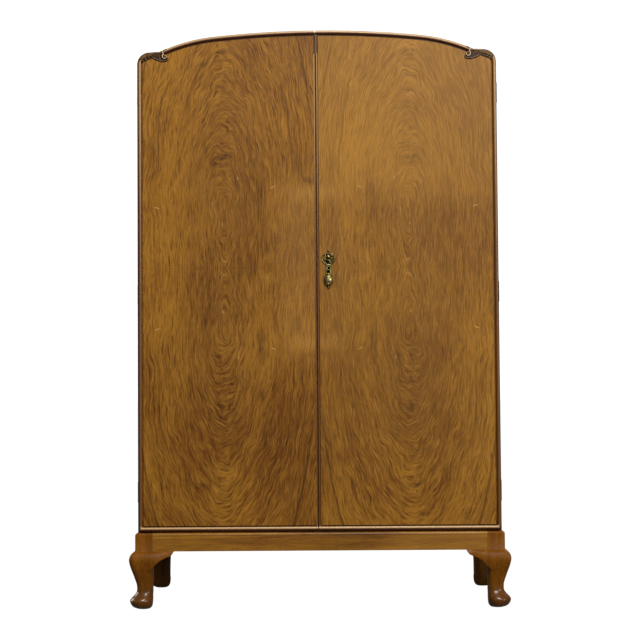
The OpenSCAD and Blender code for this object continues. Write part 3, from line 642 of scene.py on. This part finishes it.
def matched_veneer():
    """The figure is read in mirrored distances from the gap and from the level joint. Around an eye they
    make long ovals: the root of (across squared plus drawn-out height squared). Noise stretched along the
    ovals gives soft bands, streaks, short flecks and pores. In the middle the bands and streaks are fainter
    and the ovals more broken."""
    finish = Finish("matched_veneer", Coat_Weight=0.08, Coat_Roughness=0.3, Specular_IOR_Level=0.3)
    x, y, z = finish.parts(finish.place())
    across = abs(x - meeting_x)
    height = abs(z - leaf_joint_z)
    right = (x - meeting_x).rise(-0.001, 0.001)
    upper = (z - leaf_joint_z).rise(-0.001, 0.001)
    flat = finish.point(across, height, 0.0)
    cloud = finish.noise(finish.stretched(finish.place(), (3.1, 3.1, 2.3)), detail=3)
    drift = finish.noise(finish.stretched(flat, (8, 5, 1)), detail=2)
    jag = finish.noise(finish.stretched(flat, (26, 24, 1)), detail=3, roughness=0.6)

    aside = across - eye_x
    drawn = (height - eye_z).over(0.0) * 0.32 + (eye_z - height).over(0.0) * 0.16
    round_eye = (aside * aside + drawn * drawn) ** 0.5
    core = 1 - round_eye.rise(0.03, 0.16)
    oval = round_eye + (drift - 0.5) * 0.055 + (jag - 0.5) * (0.005 + 0.01 * core)
    # Each leaf was sliced a little deeper than the last, so the fine figure drifts from leaf to leaf.
    depth = right * 0.45 + (z - leaf_joint_z).rise(-0.12, 0.12) * 0.8

    def along_ovals(outwards, up, sideways, deeper, **kind):
        """Noise that changes quickly from oval to oval, and slowly up and across the leaf."""
        where = finish.point(oval * outwards, height * up, across * sideways + deeper)
        return finish.noise(where, **kind)

    broad = along_ovals(24, 2.5, 3, depth, detail=2, roughness=0.5)
    streak = along_ovals(130, 8, 10, depth, detail=3, roughness=0.68)
    fine = along_ovals(430, 19, 26, depth, detail=2, roughness=0.65)
    fleck = along_ovals(320, 21, 27, depth, detail=1)
    pore = along_ovals(800, 44, 60, 0.0, detail=1).rise(0.38, 0.30)

    soft = (broad - 0.5) * 0.42 + (streak - 0.5) * 0.4
    tone = soft * (1 - 0.35 * core) + (fine - 0.5) * 1.35 + (cloud - 0.5) * 0.95 + 0.5
    tone = tone.rise(0.1, 0.9)
    flank = finish.blend(tone, paint(106, 62, 15), paint(174, 121, 44))
    heart = finish.blend(tone, paint(98, 59, 17), paint(162, 112, 45))
    colour = finish.blend(core * 0.8, flank, heart)
    dark_fleck, pale_fleck = fleck.rise(0.58, 0.72) * 0.55, fleck.rise(0.40, 0.27) * 0.35
    colour = finish.blend(pale_fleck, colour, paint(190, 138, 66))

    # Single dark lines follow the ovals beside the gap and round the outermost oval.
    line = 0.0
    for reach, half, strength in oval_lines:
        line = line + oval.near(reach, half) * strength
    line = line * height.rise(0.26, 0.30) * (1 - height.rise(0.5, 0.68))
    line = line + round_eye.near(0.291, 0.005) * height.rise(0.42, 0.6) * 0.6
    line = line + round_eye.near(0.158, 0.004) * height.rise(0.40, 0.5) * 0.25
    # Beside the gap a hooked shadow crosses the leaf, strongest at the upper left, over a pale patch.
    bent = (across - 0.028).over(0.0)
    hook = (height - bent * bent * 70 + (jag - 0.5) * 0.05).near(0.277, 0.018)
    hook = hook * (1 - across.rise(0.035, 0.062))
    hook = hook * (0.12 + 0.36 * upper * (1 - right)) * (0.5 + streak)
    pale = height.near(0.243, 0.036) * (1 - across.rise(0.02, 0.13))
    spots = 0.0
    for spot_x, spot_z, wide, tall, strength in dark_spots:
        away = ((across - spot_x) / wide) ** 2 + ((height - spot_z) / tall) ** 2
        spots = spots + (1 - away.rise(0.0, 1.0)) * strength
    # Close-set level ripples cross the figure beside the gap, near the level joint.
    ripple = (finish.noise(finish.point(across * 38, height * 190, 0.0), detail=2) - 0.5).over(0.0)
    ripple = ripple * (1 - height.rise(0.09, 0.15)) * (1 - across.rise(0.12, 0.19)) * 1.3
    joint = height.near(0.0, 0.0012) * 0.3
    shadow = line + hook + spots * (0.3 + 1.2 * streak) + dark_fleck + ripple + joint + pore * 0.5
    colour = finish.blend(shadow.maths("MINIMUM", shadow, 0.85), colour, paint(64, 35, 12))
    nick = 0.0
    for nick_x, nick_z, wide, tall, slant in pale_nicks:
        rise = height - nick_z - slant * (across - nick_x)
        away = ((across - nick_x) / wide) ** 2 + (rise / tall) ** 2
        nick = nick + (1 - away.rise(0.0, 1.0)) * 0.5
    by_gap = (1 - across.rise(0.06, 0.19)) * (1 - height.rise(0.2, 0.36))
    pale = pale * 0.2 + by_gap * (0.22 - 0.12 * right)
    colour = finish.blend(pale * (0.45 + 1.1 * fine), colour, paint(206, 152, 78))
    colour = finish.blend(nick, colour, paint(232, 188, 116))
    # The right door's leaves are painted paler, more so higher up: painted sheen where the light falls from
    # the right and from above.
    painted_sheen = right * (0.1 * z.rise(0.25, 0.7) + 0.16 * (z - leaf_joint_z).rise(0.15, 0.32))
    colour = finish.blend(painted_sheen, colour, paint(208, 154, 70))

    # The cut beside the beads is painted dark, as old polish and as painted shade in the recess, most at the
    # arch and the foot. The inside face is plain straight-grained walnut.
    quirk = y.rise(door_face_y + 0.0002, door_face_y + 0.0010)
    inside = y.rise(door_face_y + 0.010, door_face_y + 0.012)
    polish_and_shade = 0.4 + 0.45 * z.rise(1.72, 1.76) + 0.45 * (1 - z.rise(0.272, 0.278))
    colour = finish.blend(quirk * (1 - inside) * polish_and_shade, colour, paint(52, 28, 8))
    straight = finish.stretched(finish.place(), (48, 10, 2.4))
    plain = finish.noise(straight, detail=4, roughness=0.6, distortion=0.4)
    plain_pore = finish.noise(finish.stretched(finish.place(), (700, 100, 32)), detail=1).rise(0.38, 0.3)
    plain_wood = finish.blend(plain.rise(0.25, 0.75), paint(108, 68, 28), paint(158, 110, 54))
    plain_wood = finish.blend(plain_pore * 0.6, plain_wood, paint(62, 38, 18))
    finish.feed("Base Color", finish.blend(inside, colour, plain_wood))
    finish.feed("Roughness", 0.38 + 0.08 * (0.5 - tone) + 0.15 * pore)
    finish.relief(0.4 * fine + 0.3 * streak - 0.6 * pore, 0.00010)
    return finish


cover(matched_veneer(), "left_door_panel", "right_door_panel")

# ---------------------------------------------------------------------------
# Beads: a half-round walnut moulding planted round each door and mitred at its
# lower outer corner, with a plain lipping or a beaded strip where the doors meet.
# ---------------------------------------------------------------------------

bead_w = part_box("left_door_panel")[0].z - door_low_z
bead_proud = 2.5 * mm
bead_foot = 2.5 * mm
bead_top_x = 490 * mm
side_bead_z = shoulder_z - shoulder_r

# The map's second number is the distance round the section. A painted highlight makes the bead pale along its
# crest, most where it faces up to the light, over the arch and along the foot, and painted shade keeps its
# sides dark.
bead_crest = 27 * mm
bead_colours = (104, 62, 22), (156, 102, 44)
bead_walnut = wood("bead_walnut", *bead_colours, (3.2, 60, 1), roughness=0.36, coat=0.25, laid=True)
girth = bead_walnut.parts(bead_walnut.own_map())[1]
bead_x, _, bead_z = bead_walnut.parts(bead_walnut.place())
on_arch = bead_z.rise(1.757, 1.767)
on_foot = 1 - bead_z.rise(door_low_z + bead_w, door_low_z + bead_w + 4 * mm)
plain = bead_walnut.colour_so_far()
wear_and_highlight = bead_walnut.blend(bead_z.rise(1.1, 1.7), paint(124, 80, 34), paint(206, 162, 100))
wear_and_highlight = bead_walnut.blend(on_arch, wear_and_highlight, paint(228, 186, 128))
wear_and_highlight = bead_walnut.blend(on_foot, wear_and_highlight, paint(244, 202, 144))
bead_painted_shade = bead_walnut.blend(girth.rise(22 * mm, 30 * mm), paint(50, 27, 10), paint(92, 55, 17))
bead_painted_shade = bead_walnut.blend(on_arch + on_foot, bead_painted_shade, paint(70, 34, 8))
# The doors' outer edges, round from the bead, are plain wood, without the painted shade.
door_edge = (1 - girth.rise(15 * mm, 17.5 * mm)) * abs(bead_x).rise(0.3, 0.4)
bead_painted_shade = bead_walnut.blend(door_edge, bead_painted_shade, plain)
# The painted highlight isn't at one place round the section: it follows where the light falls, nearer the
# panel along the foot, and nearer the outer edge over the arch and up the right side.
on_right = bead_x.rise(0.4, 0.5) * (1 - on_foot) * (1 - on_arch)
crest = bead_crest + 2.5 * mm + on_foot * 1.6 * mm - on_arch * 6.0 * mm - on_right * 4.0 * mm
wear_and_highlight = bead_walnut.blend(0.7, plain, wear_and_highlight)
bead_walnut.feed("Base Color", bead_walnut.blend(girth.near(crest, 5.8 * mm), bead_painted_shade, wear_and_highlight))


def half_round(width, sink, proud, count):
    """A moulding's rounded front as (across, behind the face): half an ellipse, a little squared, from sink
    below the face to proud above it and back."""
    turn = np.radians(np.linspace(180, 0, count))
    across = width / 2 + width / 2 * np.cos(turn)
    return np.stack([across, sink - (sink + proud) * np.sin(turn) ** 0.9], -1)


bead_section = np.concatenate([
    [(0, door_depth)], half_round(bead_w, bead_foot, bead_proud, 22), [(bead_w, door_depth)],
])


def swept(section, starts, ends, spot, count, shift=0.0):
    """A section carried along from starts to ends, which may differ for each of its points. spot gives the
    place of (travel, in from the outline). The map is (travel, distance round the section plus shift)."""
    step = np.linspace(0, 1, count)[:, None]
    travel = starts[None, :] + (ends - starts)[None, :] * step
    inwards = section[:, 0][None, :] + 0 * step
    x, z = spot(travel, inwards)
    y = door_face_y + section[:, 1][None, :] + 0 * step
    round_it = np.concatenate([[0], np.cumsum(np.linalg.norm(np.diff(section, axis=0), axis=1))])
    laid = np.stack([travel, round_it[None, :] + shift + 0 * step], -1)
    return *closed(np.stack([x, y, z], -1)), laid


corner_turn = math.radians(32)


def up_the_side(travel, inwards):
    """Straight up the door's side, then round the corner's circle by the travel over the corner's radius."""
    turn = np.maximum(travel - side_bead_z, 0) / shoulder_r
    bend_r = shoulder_r - inwards
    x = corner_x + bend_r * np.cos(turn)
    return x, np.minimum(travel, side_bead_z) + bend_r * np.sin(turn)


def door_moulding(sign, meeting_edge):
    """The three runs of one door's bead: up the side into the corner, along the foot, and over the arch."""
    inset = bead_section[:, 0]
    side_end = np.full_like(inset, side_bead_z + shoulder_r * corner_turn)
    meeting = np.full_like(inset, sign * meeting_edge)
    arch_start = np.full_like(inset, bead_top_x)

    def side_spot(travel, inwards):
        x, z = up_the_side(travel, inwards)
        return sign * x, z

    def foot_spot(travel, inwards):
        return sign * travel, door_low_z + inwards

    def arch_spot(travel, inwards):
        return sign * travel, arch_height(travel, inwards)

    return [
        swept(bead_section, door_low_z + inset, side_end, side_spot, 240),
        swept(bead_section, half_w - inset, meeting, foot_spot, 60),
        swept(bead_section, arch_start, meeting, arch_spot, 140),
    ]


lipping_w = 4 * mm
strip_w = 8 * mm
strip_proud = 1 * mm


def edge_strip(section, edge_x, sign, crest):
    """An upright strip from the foot bead to the arch bead, its section given as (across, behind the face).
    crest is how far round the section its painted highlight lies, which the map puts where a bead's crest is."""
    across = edge_x + sign * section[:, 0]
    low = np.full_like(across, door_low_z + bead_w)

    def strip_spot(travel, inwards):
        return edge_x + sign * inwards, travel

    return swept(section, low, arch_height(across, bead_w), strip_spot, 80, bead_crest - crest)


lip_r = 1.4 * mm
lip_crest = 18.5 * mm
lipping = np.concatenate([
    [(0, door_depth)], arc(lip_r, lip_r, lip_r, 180, 270, 6),
    [(lipping_w - 0.3 * mm, 0), (lipping_w, 0.3 * mm), (lipping_w, door_depth)],
])
strip_crest = 22.3 * mm
strip = np.concatenate([
    [(0, door_depth)], half_round(5.0 * mm, 2.0 * mm, strip_proud, 14),
    [(5.4 * mm, 2.2 * mm), (6.4 * mm, 2.2 * mm), (6.8 * mm, 0.1 * mm)],
    [(strip_w - 0.2 * mm, 0), (strip_w, door_depth)],
])

left_runs = door_moulding(-1, left_door_x) + [edge_strip(lipping, left_door_x, -1, lip_crest)]
left_beads = build("left_beads", left_runs, bead_walnut.material, sharp=45, merge=False)
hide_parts("left_door_beads")
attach(left_beads, "left_door")

right_runs = door_moulding(1, right_door_x)
right_beads = build("right_beads", right_runs, bead_walnut.material, sharp=45, merge=False)
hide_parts("right_door_beads")
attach(right_beads, "right_door")

strip_run = edge_strip(strip, right_door_x, 1, strip_crest)
strip_piece = build("meeting_strip", [strip_run], bead_walnut.material, sharp=45, merge=False)
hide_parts("meeting_bead")
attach(strip_piece, "right_door")

# ---------------------------------------------------------------------------
# Scrolls: the arch bead curls under into a volute at each shoulder, and a carved
# leaf runs from it over the corner. Each is cut from one piece and glued on.
# ---------------------------------------------------------------------------

carved_colours = (88, 58, 28), (146, 110, 68)
carved_walnut = wood("carved_walnut", *carved_colours, (60, 60, 60), roughness=0.38, coat=0.15, offset=7.7)


def tint_between(finish, none, full, colour):
    """Tints what stands out from the door: not at all at one height over its face, fully at the other."""
    share = finish.parts(finish.place())[1].rise(door_face_y - none, door_face_y - full)
    finish.tint(share, colour)


# Painted shade darkens the hollows, and a painted highlight makes only the volute pale, as only it stands out
# far enough.
tint_between(carved_walnut, 5.0 * mm, 1.8 * mm, (40, 22, 8))
tint_between(carved_walnut, 4.9 * mm, 5.7 * mm, (242, 206, 158))


def rod(path, radius, sides, lift, raised, tip=0.15):
    """A rounded rib along a smooth path in X and Z on the door's face. Each ring is the path plus radius
    times (cosine across the path, lift times sine out of the face), and the radius shrinks by a sine over
    the share tip of the path at both ends."""
    count = len(path)
    radius = np.full(count, radius)
    along = np.gradient(path, axis=0)
    along /= np.linalg.norm(along, axis=1)[:, None]
    across = np.stack([along[:, 1], -along[:, 0]], -1)
    share = np.linspace(0, 1, count)
    ends = np.minimum(share, 1 - share) / tip
    radius *= 0.12 + 0.88 * np.sin(np.pi / 2 * np.clip(ends, 0, 1))
    turn = full_turn(sides)
    flat = path[:, None, :] + radius[:, None, None] * np.cos(turn)[..., None] * across[:, None, :]
    out = door_face_y - raised - lift * radius[:, None] * np.sin(turn)
    return closed(np.stack([flat[..., 0], out, flat[..., 1]], -1))


def revolved(cx, cz, reach, y, sides=28):
    """Rings about a line along Y through (cx, cz): each has its own radius and its own place in depth."""
    turn = full_turn(sides)
    reach, y = reach[:, None], y[:, None]
    return closed(np.stack([cx + reach * np.cos(turn), y + 0 * turn, cz + reach * np.sin(turn)], -1))


def dome_on(cx, cz, radius, height, base_y):
    """A button on a short straight foot: its radius falls by a cosine as its height grows by a sine."""
    rise = np.linspace(0, math.pi / 2 * 0.97, 9)
    reach = np.concatenate([[radius], radius * np.cos(rise)])
    up = np.concatenate([[-1.0 * mm], height * np.sin(rise)])
    return revolved(cx, cz, reach, base_y - up)


# The carving at the right shoulder, in millimetres: ribs as (points, radius, height over the face), round
# lobes as (x, z, radius), and the thin ground that they stand on.
volute = np.array([485.2, 1757.8])
volute_turn = np.radians(np.linspace(75, 75 - 500, 90))
volute_reach = np.linspace(8.8, 1.6, 90)[:, None]
scroll_ribs = [
    ([(474.5, 1751), (479, 1746), (486, 1743.8), (495, 1744.2), (507, 1747.4), (519, 1752.5), (529, 1760)],
     3.3, 0.3),
    ([(497, 1768.6), (508, 1769.4), (522, 1768.6), (536, 1767), (549, 1762.4), (560, 1754), (567, 1743)],
     4.0, 0.8),
    ([(499, 1765), (503, 1759), (502, 1752.5), (497, 1749.5)], 2.1, 2.0),
    ([(504, 1766), (509, 1760), (512, 1754.5)], 2.1, 2.0),
    ([(511, 1766), (517, 1761.5), (522, 1757.5)], 2.1, 2.0),
    ([(519, 1766), (527, 1763.5), (535, 1760), (541, 1755)], 2.5, 2.0),
    ([(530, 1765), (540, 1761.5), (548, 1756.5), (552, 1751)], 2.4, 2.0),
    ([(543, 1762), (552, 1756.5), (558, 1750), (560, 1744.5)], 2.2, 2.0),
]
scroll_lobes = [(535.5, 1752.8, 3.6), (545.5, 1749.4, 3.6), (555.0, 1744.6, 3.2), (526.5, 1757.6, 2.8)]
ground_low_edge = [
    (474.5, 1751), (480, 1744), (490, 1741.6), (503, 1744), (516, 1749.4), (524, 1754), (533, 1750.4),
    (543, 1746.6), (552, 1742.4), (560, 1739.6),
]
ground = np.concatenate([
    through(ground_low_edge, 60), [(572, 1735)], arc(535, 1732, 38.6, 12, 90, 20)[1:],
    [(503, 1770.8), (497, 1771.6), (489, 1769)],
])


def scroll_shells():
    """The volute is a spiral, its radius falling evenly with the angle, led in from the arch's bead."""
    spiral = volute + volute_reach * np.stack([np.cos(volute_turn), np.sin(volute_turn)], -1)
    lead = through([(478, 1783.0), (488, 1778.0), (494, 1770.5)], 16)
    curl = np.concatenate([lead[:-2], spiral[3:]])
    made = [rod(curl * mm, np.linspace(2.3, 1.7, len(curl)) * mm, 14, 1.3, 2.9 * mm)]
    for points, thick, raised in scroll_ribs:
        made.append(rod(through(points, 40) * mm, thick * mm, 14, 1.0, raised * mm))
    for x, z, thick in scroll_lobes:
        made.append(dome_on(x * mm, z * mm, thick * mm, 4.6 * mm, door_face_y - 0.6 * mm))
    made.append(extruded(ground * mm, door_face_y - 1.6 * mm, door_face_y))
    return made


right_carving = scroll_shells()
for side, sign in (("left", -1), ("right", 1)):
    shells = [(points * (sign, 1, 1), faces) for points, faces in right_carving]
    made = build(f"{side}_carving", shells, carved_walnut.material, sharp=50, merge=False)
    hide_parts(f"{side}_scroll")
    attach(made, f"{side}_door")

# ---------------------------------------------------------------------------
# Drop handle: a cast and pierced brass plate with a keyhole, pinned to the right
# door, and an openwork drop with a half-round knob that hangs from a small pin.
# ---------------------------------------------------------------------------

handle_x = (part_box("handle_pin")[0].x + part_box("handle_pin")[1].x) / 2
pin_low, pin_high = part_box("handle_pin")
pin_y, pin_z = (pin_low.y + pin_high.y) / 2, (pin_low.z + pin_high.z) / 2


def aged_metal(name, bright, wear_and_highlight, tarnish, amount, roughness):
    """Cast metal: tarnish gathers in clouds and specks, and rubbed places stay brighter and smoother."""
    finish = Finish(name, Metallic=1.0, Specular_IOR_Level=0.5)
    cloud = finish.noise(finish.place(), detail=4, roughness=0.6, scale=210)
    speck = finish.noise(finish.place(), detail=2, scale=900)
    rubbed = finish.noise(finish.place(), detail=3, scale=90)
    dirt = (cloud * 0.7 + speck * 0.3).rise(0.62 - amount, 0.80 - amount)
    colour = finish.blend(rubbed.rise(0.4, 0.6), paint(*wear_and_highlight), paint(*bright))
    finish.feed("Base Color", finish.blend(dirt, colour, paint(*tarnish)))
    finish.feed("Roughness", roughness + 0.28 * dirt)
    finish.relief(cloud - 0.6 * speck, 0.0001)
    return finish


brass_colours = (190, 180, 126), (134, 124, 70), (56, 48, 20)
# Painted shade darkens the handle's hollows and openings, most where they lie nearest the door.
brass_hollow_shade = (18, 14, 5)
handle_brass = aged_metal("handle_brass", *brass_colours, 0.14, 0.36)
tint_between(handle_brass, 3.8 * mm, 2.0 * mm, brass_hollow_shade)
drop_brass = aged_metal("drop_brass", *brass_colours, 0.14, 0.4)
tint_between(drop_brass, 6.0 * mm, 4.2 * mm, brass_hollow_shade)


def at_handle(points):
    """Points in millimetres, across from the handle's centre line and up from the floor, in metres."""
    return np.asarray(points, float) * mm + (handle_x, 0)


# The plate's two flat parts, each (half width, low, high), lie under its boss and ribs.
plate_t = 1.8 * mm
plate_shells = []
for reach, low, high in ((5.4, 1079.5, 1092), (6.4, 1099.5, 1118.5)):
    foot = [(-reach, low + 2), (-reach + 2, low), (reach - 2, low), (reach, low + 2)]
    outline = foot + [(reach * 0.8, high), (-reach * 0.8, high)]
    plate_shells.append(extruded(at_handle(outline), door_face_y - plate_t, door_face_y))

# The collar round the keyhole and the boss above it, as (radius, height over the door's face).
keyhole_z, boss_z = 1.096, 1.1096
collar = np.array([(3.1, 0), (3.1, 2.2), (3.8, 3.0), (7.0, 2.2), (8.2, 1.4), (8.2, 0), (3.1, 0)]) * mm
boss = np.array([
    (7.2, 0), (7.2, 1.9), (6.5, 2.2), (6.2, 3.8), (5.4, 5.6), (4.0, 6.9), (2.2, 7.6), (0.4, 7.8),
]) * mm
for profile, z, sides in ((collar, keyhole_z, 40), (boss, boss_z, 36)):
    plate_shells.append(revolved(handle_x, z, profile[:, 0], door_face_y - profile[:, 1], sides))

middle_ribs = [
    ([(-5, 1116), (-4.4, 1121), (-2.8, 1126), (0, 1131.5), (2.8, 1126), (4.4, 1121), (5, 1116)], 1.5),
    ([(-6.4, 1093), (-5.4, 1087.6), (0, 1084.2), (5.4, 1087.6), (6.4, 1093)], 1.7),
]
side_ribs = [
    ([(6, 1116), (11, 1118), (16.5, 1114.5), (20, 1108), (19.8, 1100.5), (15.5, 1092.5), (9, 1086.5)], 1.8),
    ([(7, 1112), (11.5, 1112.8), (15, 1109), (15.2, 1103.6), (11.6, 1100.8), (9.4, 1103.4), (11.2, 1106)],
     1.3),
    ([(7.5, 1100), (12, 1096.5), (15.5, 1097.5)], 1.2),
    ([(5.5, 1086), (7.8, 1081), (6.4, 1077.5)], 1.3),
]
plate_ribs = [(np.array(points, float), thick) for points, thick in middle_ribs]
for side in (-1, 1):
    plate_ribs += [(np.array(points) * (side, 1), thick) for points, thick in side_ribs]
for points, thick in plate_ribs:
    path = at_handle(through(points, 36))
    plate_shells.append(rod(path, thick * mm, 12, 1.1, plate_t, 0.08))


def level_rod(x0, x1, y, z, radius):
    """A round rod along X, with a fifth of its radius turned in at each end."""
    ends = np.array([(x0, 0.8), (x0 + 0.2 * radius, 1), (x1 - 0.2 * radius, 1), (x1, 0.8)])
    reach = radius * ends[:, 1:]
    turn = full_turn(20)
    return closed(np.stack([ends[:, :1] + 0 * turn, y + reach * np.cos(turn), z + reach * np.sin(turn)], -1))


# Two knuckles hold the pin, each on an arm from the door's face.
arm = np.array([(4, 1081.6), (6, 1081.6), (6, 1086.4), (4, 1086.4)])
for side in (-1, 1):
    ends = sorted((handle_x + side * 4 * mm, handle_x + side * 6 * mm))
    plate_shells.append(level_rod(*ends, pin_y, pin_z, 2.8 * mm))
    plate_shells.append(extruded(at_handle(arm * (side, 1)), pin_y, door_face_y))
handle_back = build("handle_backplate", plate_shells, handle_brass.material, sharp=40, merge=False)
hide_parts("handle_plate")
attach(handle_back, "right_door")

drop_back_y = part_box("handle_drop")[1].y
drop_shells = [level_rod(handle_x - 3.7 * mm, handle_x + 3.7 * mm, pin_y, pin_z, 2.6 * mm)]
drop_ribs = [
    ([(-3.2, 1083), (-4.6, 1078), (-5.6, 1070), (-6.0, 1062), (-7.2, 1055)], 1.9),
    ([(3.2, 1083), (4.6, 1078), (5.6, 1070), (6.0, 1062), (7.2, 1055)], 1.9),
    ([(-5, 1079.4), (0, 1078.4), (5, 1079.4)], 1.3),
    ([(-5.4, 1069), (0, 1068.2), (5.4, 1069)], 1.3),
    ([(-6.4, 1056), (0, 1057.2), (6.4, 1056)], 1.5),
]
drop_rib_y = drop_back_y - 2.1 * mm
for points, thick in drop_ribs:
    path = at_handle(through(points, 28))
    drop_shells.append(rod(path, thick * mm, 12, 1.0, door_face_y - drop_rib_y, 0.06))
# A thin web behind the ribs, dark with the painted shade, fills the shank's openings as a dark sheet where
# there would be only shade.
shade_web = [(-4.6, 1080), (4.6, 1080), (5.6, 1070), (7.0, 1055), (-7.0, 1055), (-5.6, 1070)]
drop_shells.append(extruded(at_handle(shade_web), drop_back_y - 0.7 * mm, drop_back_y))


def half_turned(profile, depth):
    """A half-round knob: at each height half an ellipse in front of a flat back, as deep as depth times its
    half width."""
    turn = np.linspace(0, math.pi, 30)[None, :]
    reach, z = profile[:, :1] * mm, profile[:, 1:] * mm
    x = handle_x + reach * np.cos(turn)
    y = drop_back_y - depth * reach * np.sin(turn)
    return closed(np.stack([x, y, z + 0 * turn], -1))


# The knob, the collars under it and the little ball at its tip, as (half width, height).
knob = through([
    (1.5, 1055.5), (7.0, 1053.6), (11.2, 1049.5), (13.8, 1043.5), (14.8, 1036), (14.4, 1030.5),
    (12.8, 1026.6),
], 40)
collars = [
    (11.2, 1025.4), (11.6, 1024.2), (10.6, 1023.0), (7.6, 1020.6), (5.0, 1018.2), (4.6, 1017.2),
    (2.6, 1016.0),
]
ball = [(3.0, 1015.2), (3.9, 1013.6), (3.9, 1011.8), (2.8, 1010.0), (1.2, 1009.2), (0.2, 1009.0)]
drop_shells.append(half_turned(np.concatenate([knob, collars, ball]), 0.86))
drop_piece = build("handle_pull", drop_shells, drop_brass.material, sharp=40, merge=False)
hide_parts("handle_drop")
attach(drop_piece, "handle_drop")
cover(handle_brass, "handle_pin")

# ---------------------------------------------------------------------------
# Inside: a division, a hat shelf and four shelves of paler wood, the rails that
# fill the arch, and plywood back panels screwed into a rebate.
# ---------------------------------------------------------------------------

pale = (132, 96, 56), (178, 138, 88)
board_across = wood("inside_wood_across", *pale, (2.4, 34, 34), roughness=0.5, coat=0.1, offset=11.3)
board_upright = wood("inside_wood_upright", *pale, (34, 34, 2.4), roughness=0.5, coat=0.1, offset=13.9)
board_deep = wood("inside_wood_deep", *pale, (34, 2.4, 34), roughness=0.5, coat=0.1, offset=17.2)
shelves = ("hat_shelf", "shelf_1", "shelf_2", "shelf_3", "shelf_4")
cover(board_across, "floor_board", *shelves, "front_top_rail", "rear_top_rail")
cover(board_upright, "centre_division")
cover(board_deep, "shelf_cleats", "base_bearer", "base_corner_blocks")
for board in (*shelves, "shelf_cleats", "floor_board", "centre_division"):
    soften(nodes[board], 0.7 * mm)

ply_colours = (150, 112, 68), (190, 152, 104)
back_ply = wood("back_ply", *ply_colours, (22, 22, 1.8), roughness=0.62, coat=0.0, offset=19.4)
cover(back_ply, "left_back_panel", "right_back_panel")

# ---------------------------------------------------------------------------
# Fittings: brass butt hinges let into the edges, barrel bolts, a box lock with
# its keep, a tie rail, a hanging rail, steel screws, and a bevelled mirror.
# ---------------------------------------------------------------------------

fitting_brass = aged_metal("fitting_brass", (202, 176, 108), (164, 138, 74), (96, 74, 36), 0.06, 0.3)
screw_steel = aged_metal("screw_steel", (188, 188, 184), (150, 148, 144), (92, 80, 66), 0.08, 0.34)
for side in ("left", "right"):
    hinge = [f"{side}_{part}" for part in ("frame_leaves", "door_leaves", "hinge_pins", "door_screws")]
    cover(fitting_brass, *hinge)
cover(fitting_brass, "frame_screws", "top_bolt_plate", "top_bolt", "bottom_bolt_plate", "bottom_bolt")
cover(fitting_brass, "tie_rail", "hanging_rail", "rail_sockets", "lock_case", "lock_keep", "mirror_clips")
cover(screw_steel, "back_screws", "lock_bolt")

mirror_low, mirror_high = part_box("door_mirror")
bevel_w = 18 * mm


def mirror_sheet():
    """A sheet of glass as three rings round its middle: its back, its edge, and the bevel's inner line."""
    rings = []
    for inset, y in ((0, mirror_low.y), (0, mirror_high.y - 1.2 * mm), (bevel_w, mirror_high.y)):
        x0, x1 = mirror_low.x + inset, mirror_high.x - inset
        z0, z1 = mirror_low.z + inset, mirror_high.z - inset
        rings.append([(x0, y, z0), (x1, y, z0), (x1, y, z1), (x0, y, z1)])
    return closed(np.array(rings))


# The silvering has a few foxed spots, more of them towards the two upright edges.
glass = Finish("silvered_glass", Metallic=1.0, Specular_IOR_Level=0.5)
foxing = glass.noise(glass.place(), detail=5, roughness=0.65, scale=26)
mirror_x, mirror_half_w = (mirror_low.x + mirror_high.x) / 2, (mirror_high.x - mirror_low.x) / 2
near_edge = abs(glass.parts(glass.place())[0] - mirror_x).rise(mirror_half_w - 30 * mm, mirror_half_w)
spotted = (foxing + near_edge * 0.12).rise(0.66, 0.72)
glass.feed("Base Color", glass.blend(spotted, paint(226, 232, 232), paint(120, 112, 98)))
glass.feed("Roughness", 0.02 + 0.35 * spotted)
mirror_piece = build("bevelled_mirror", [mirror_sheet()], glass.material, sharp=2, merge=False)
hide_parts("door_mirror")
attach(mirror_piece, "left_door")
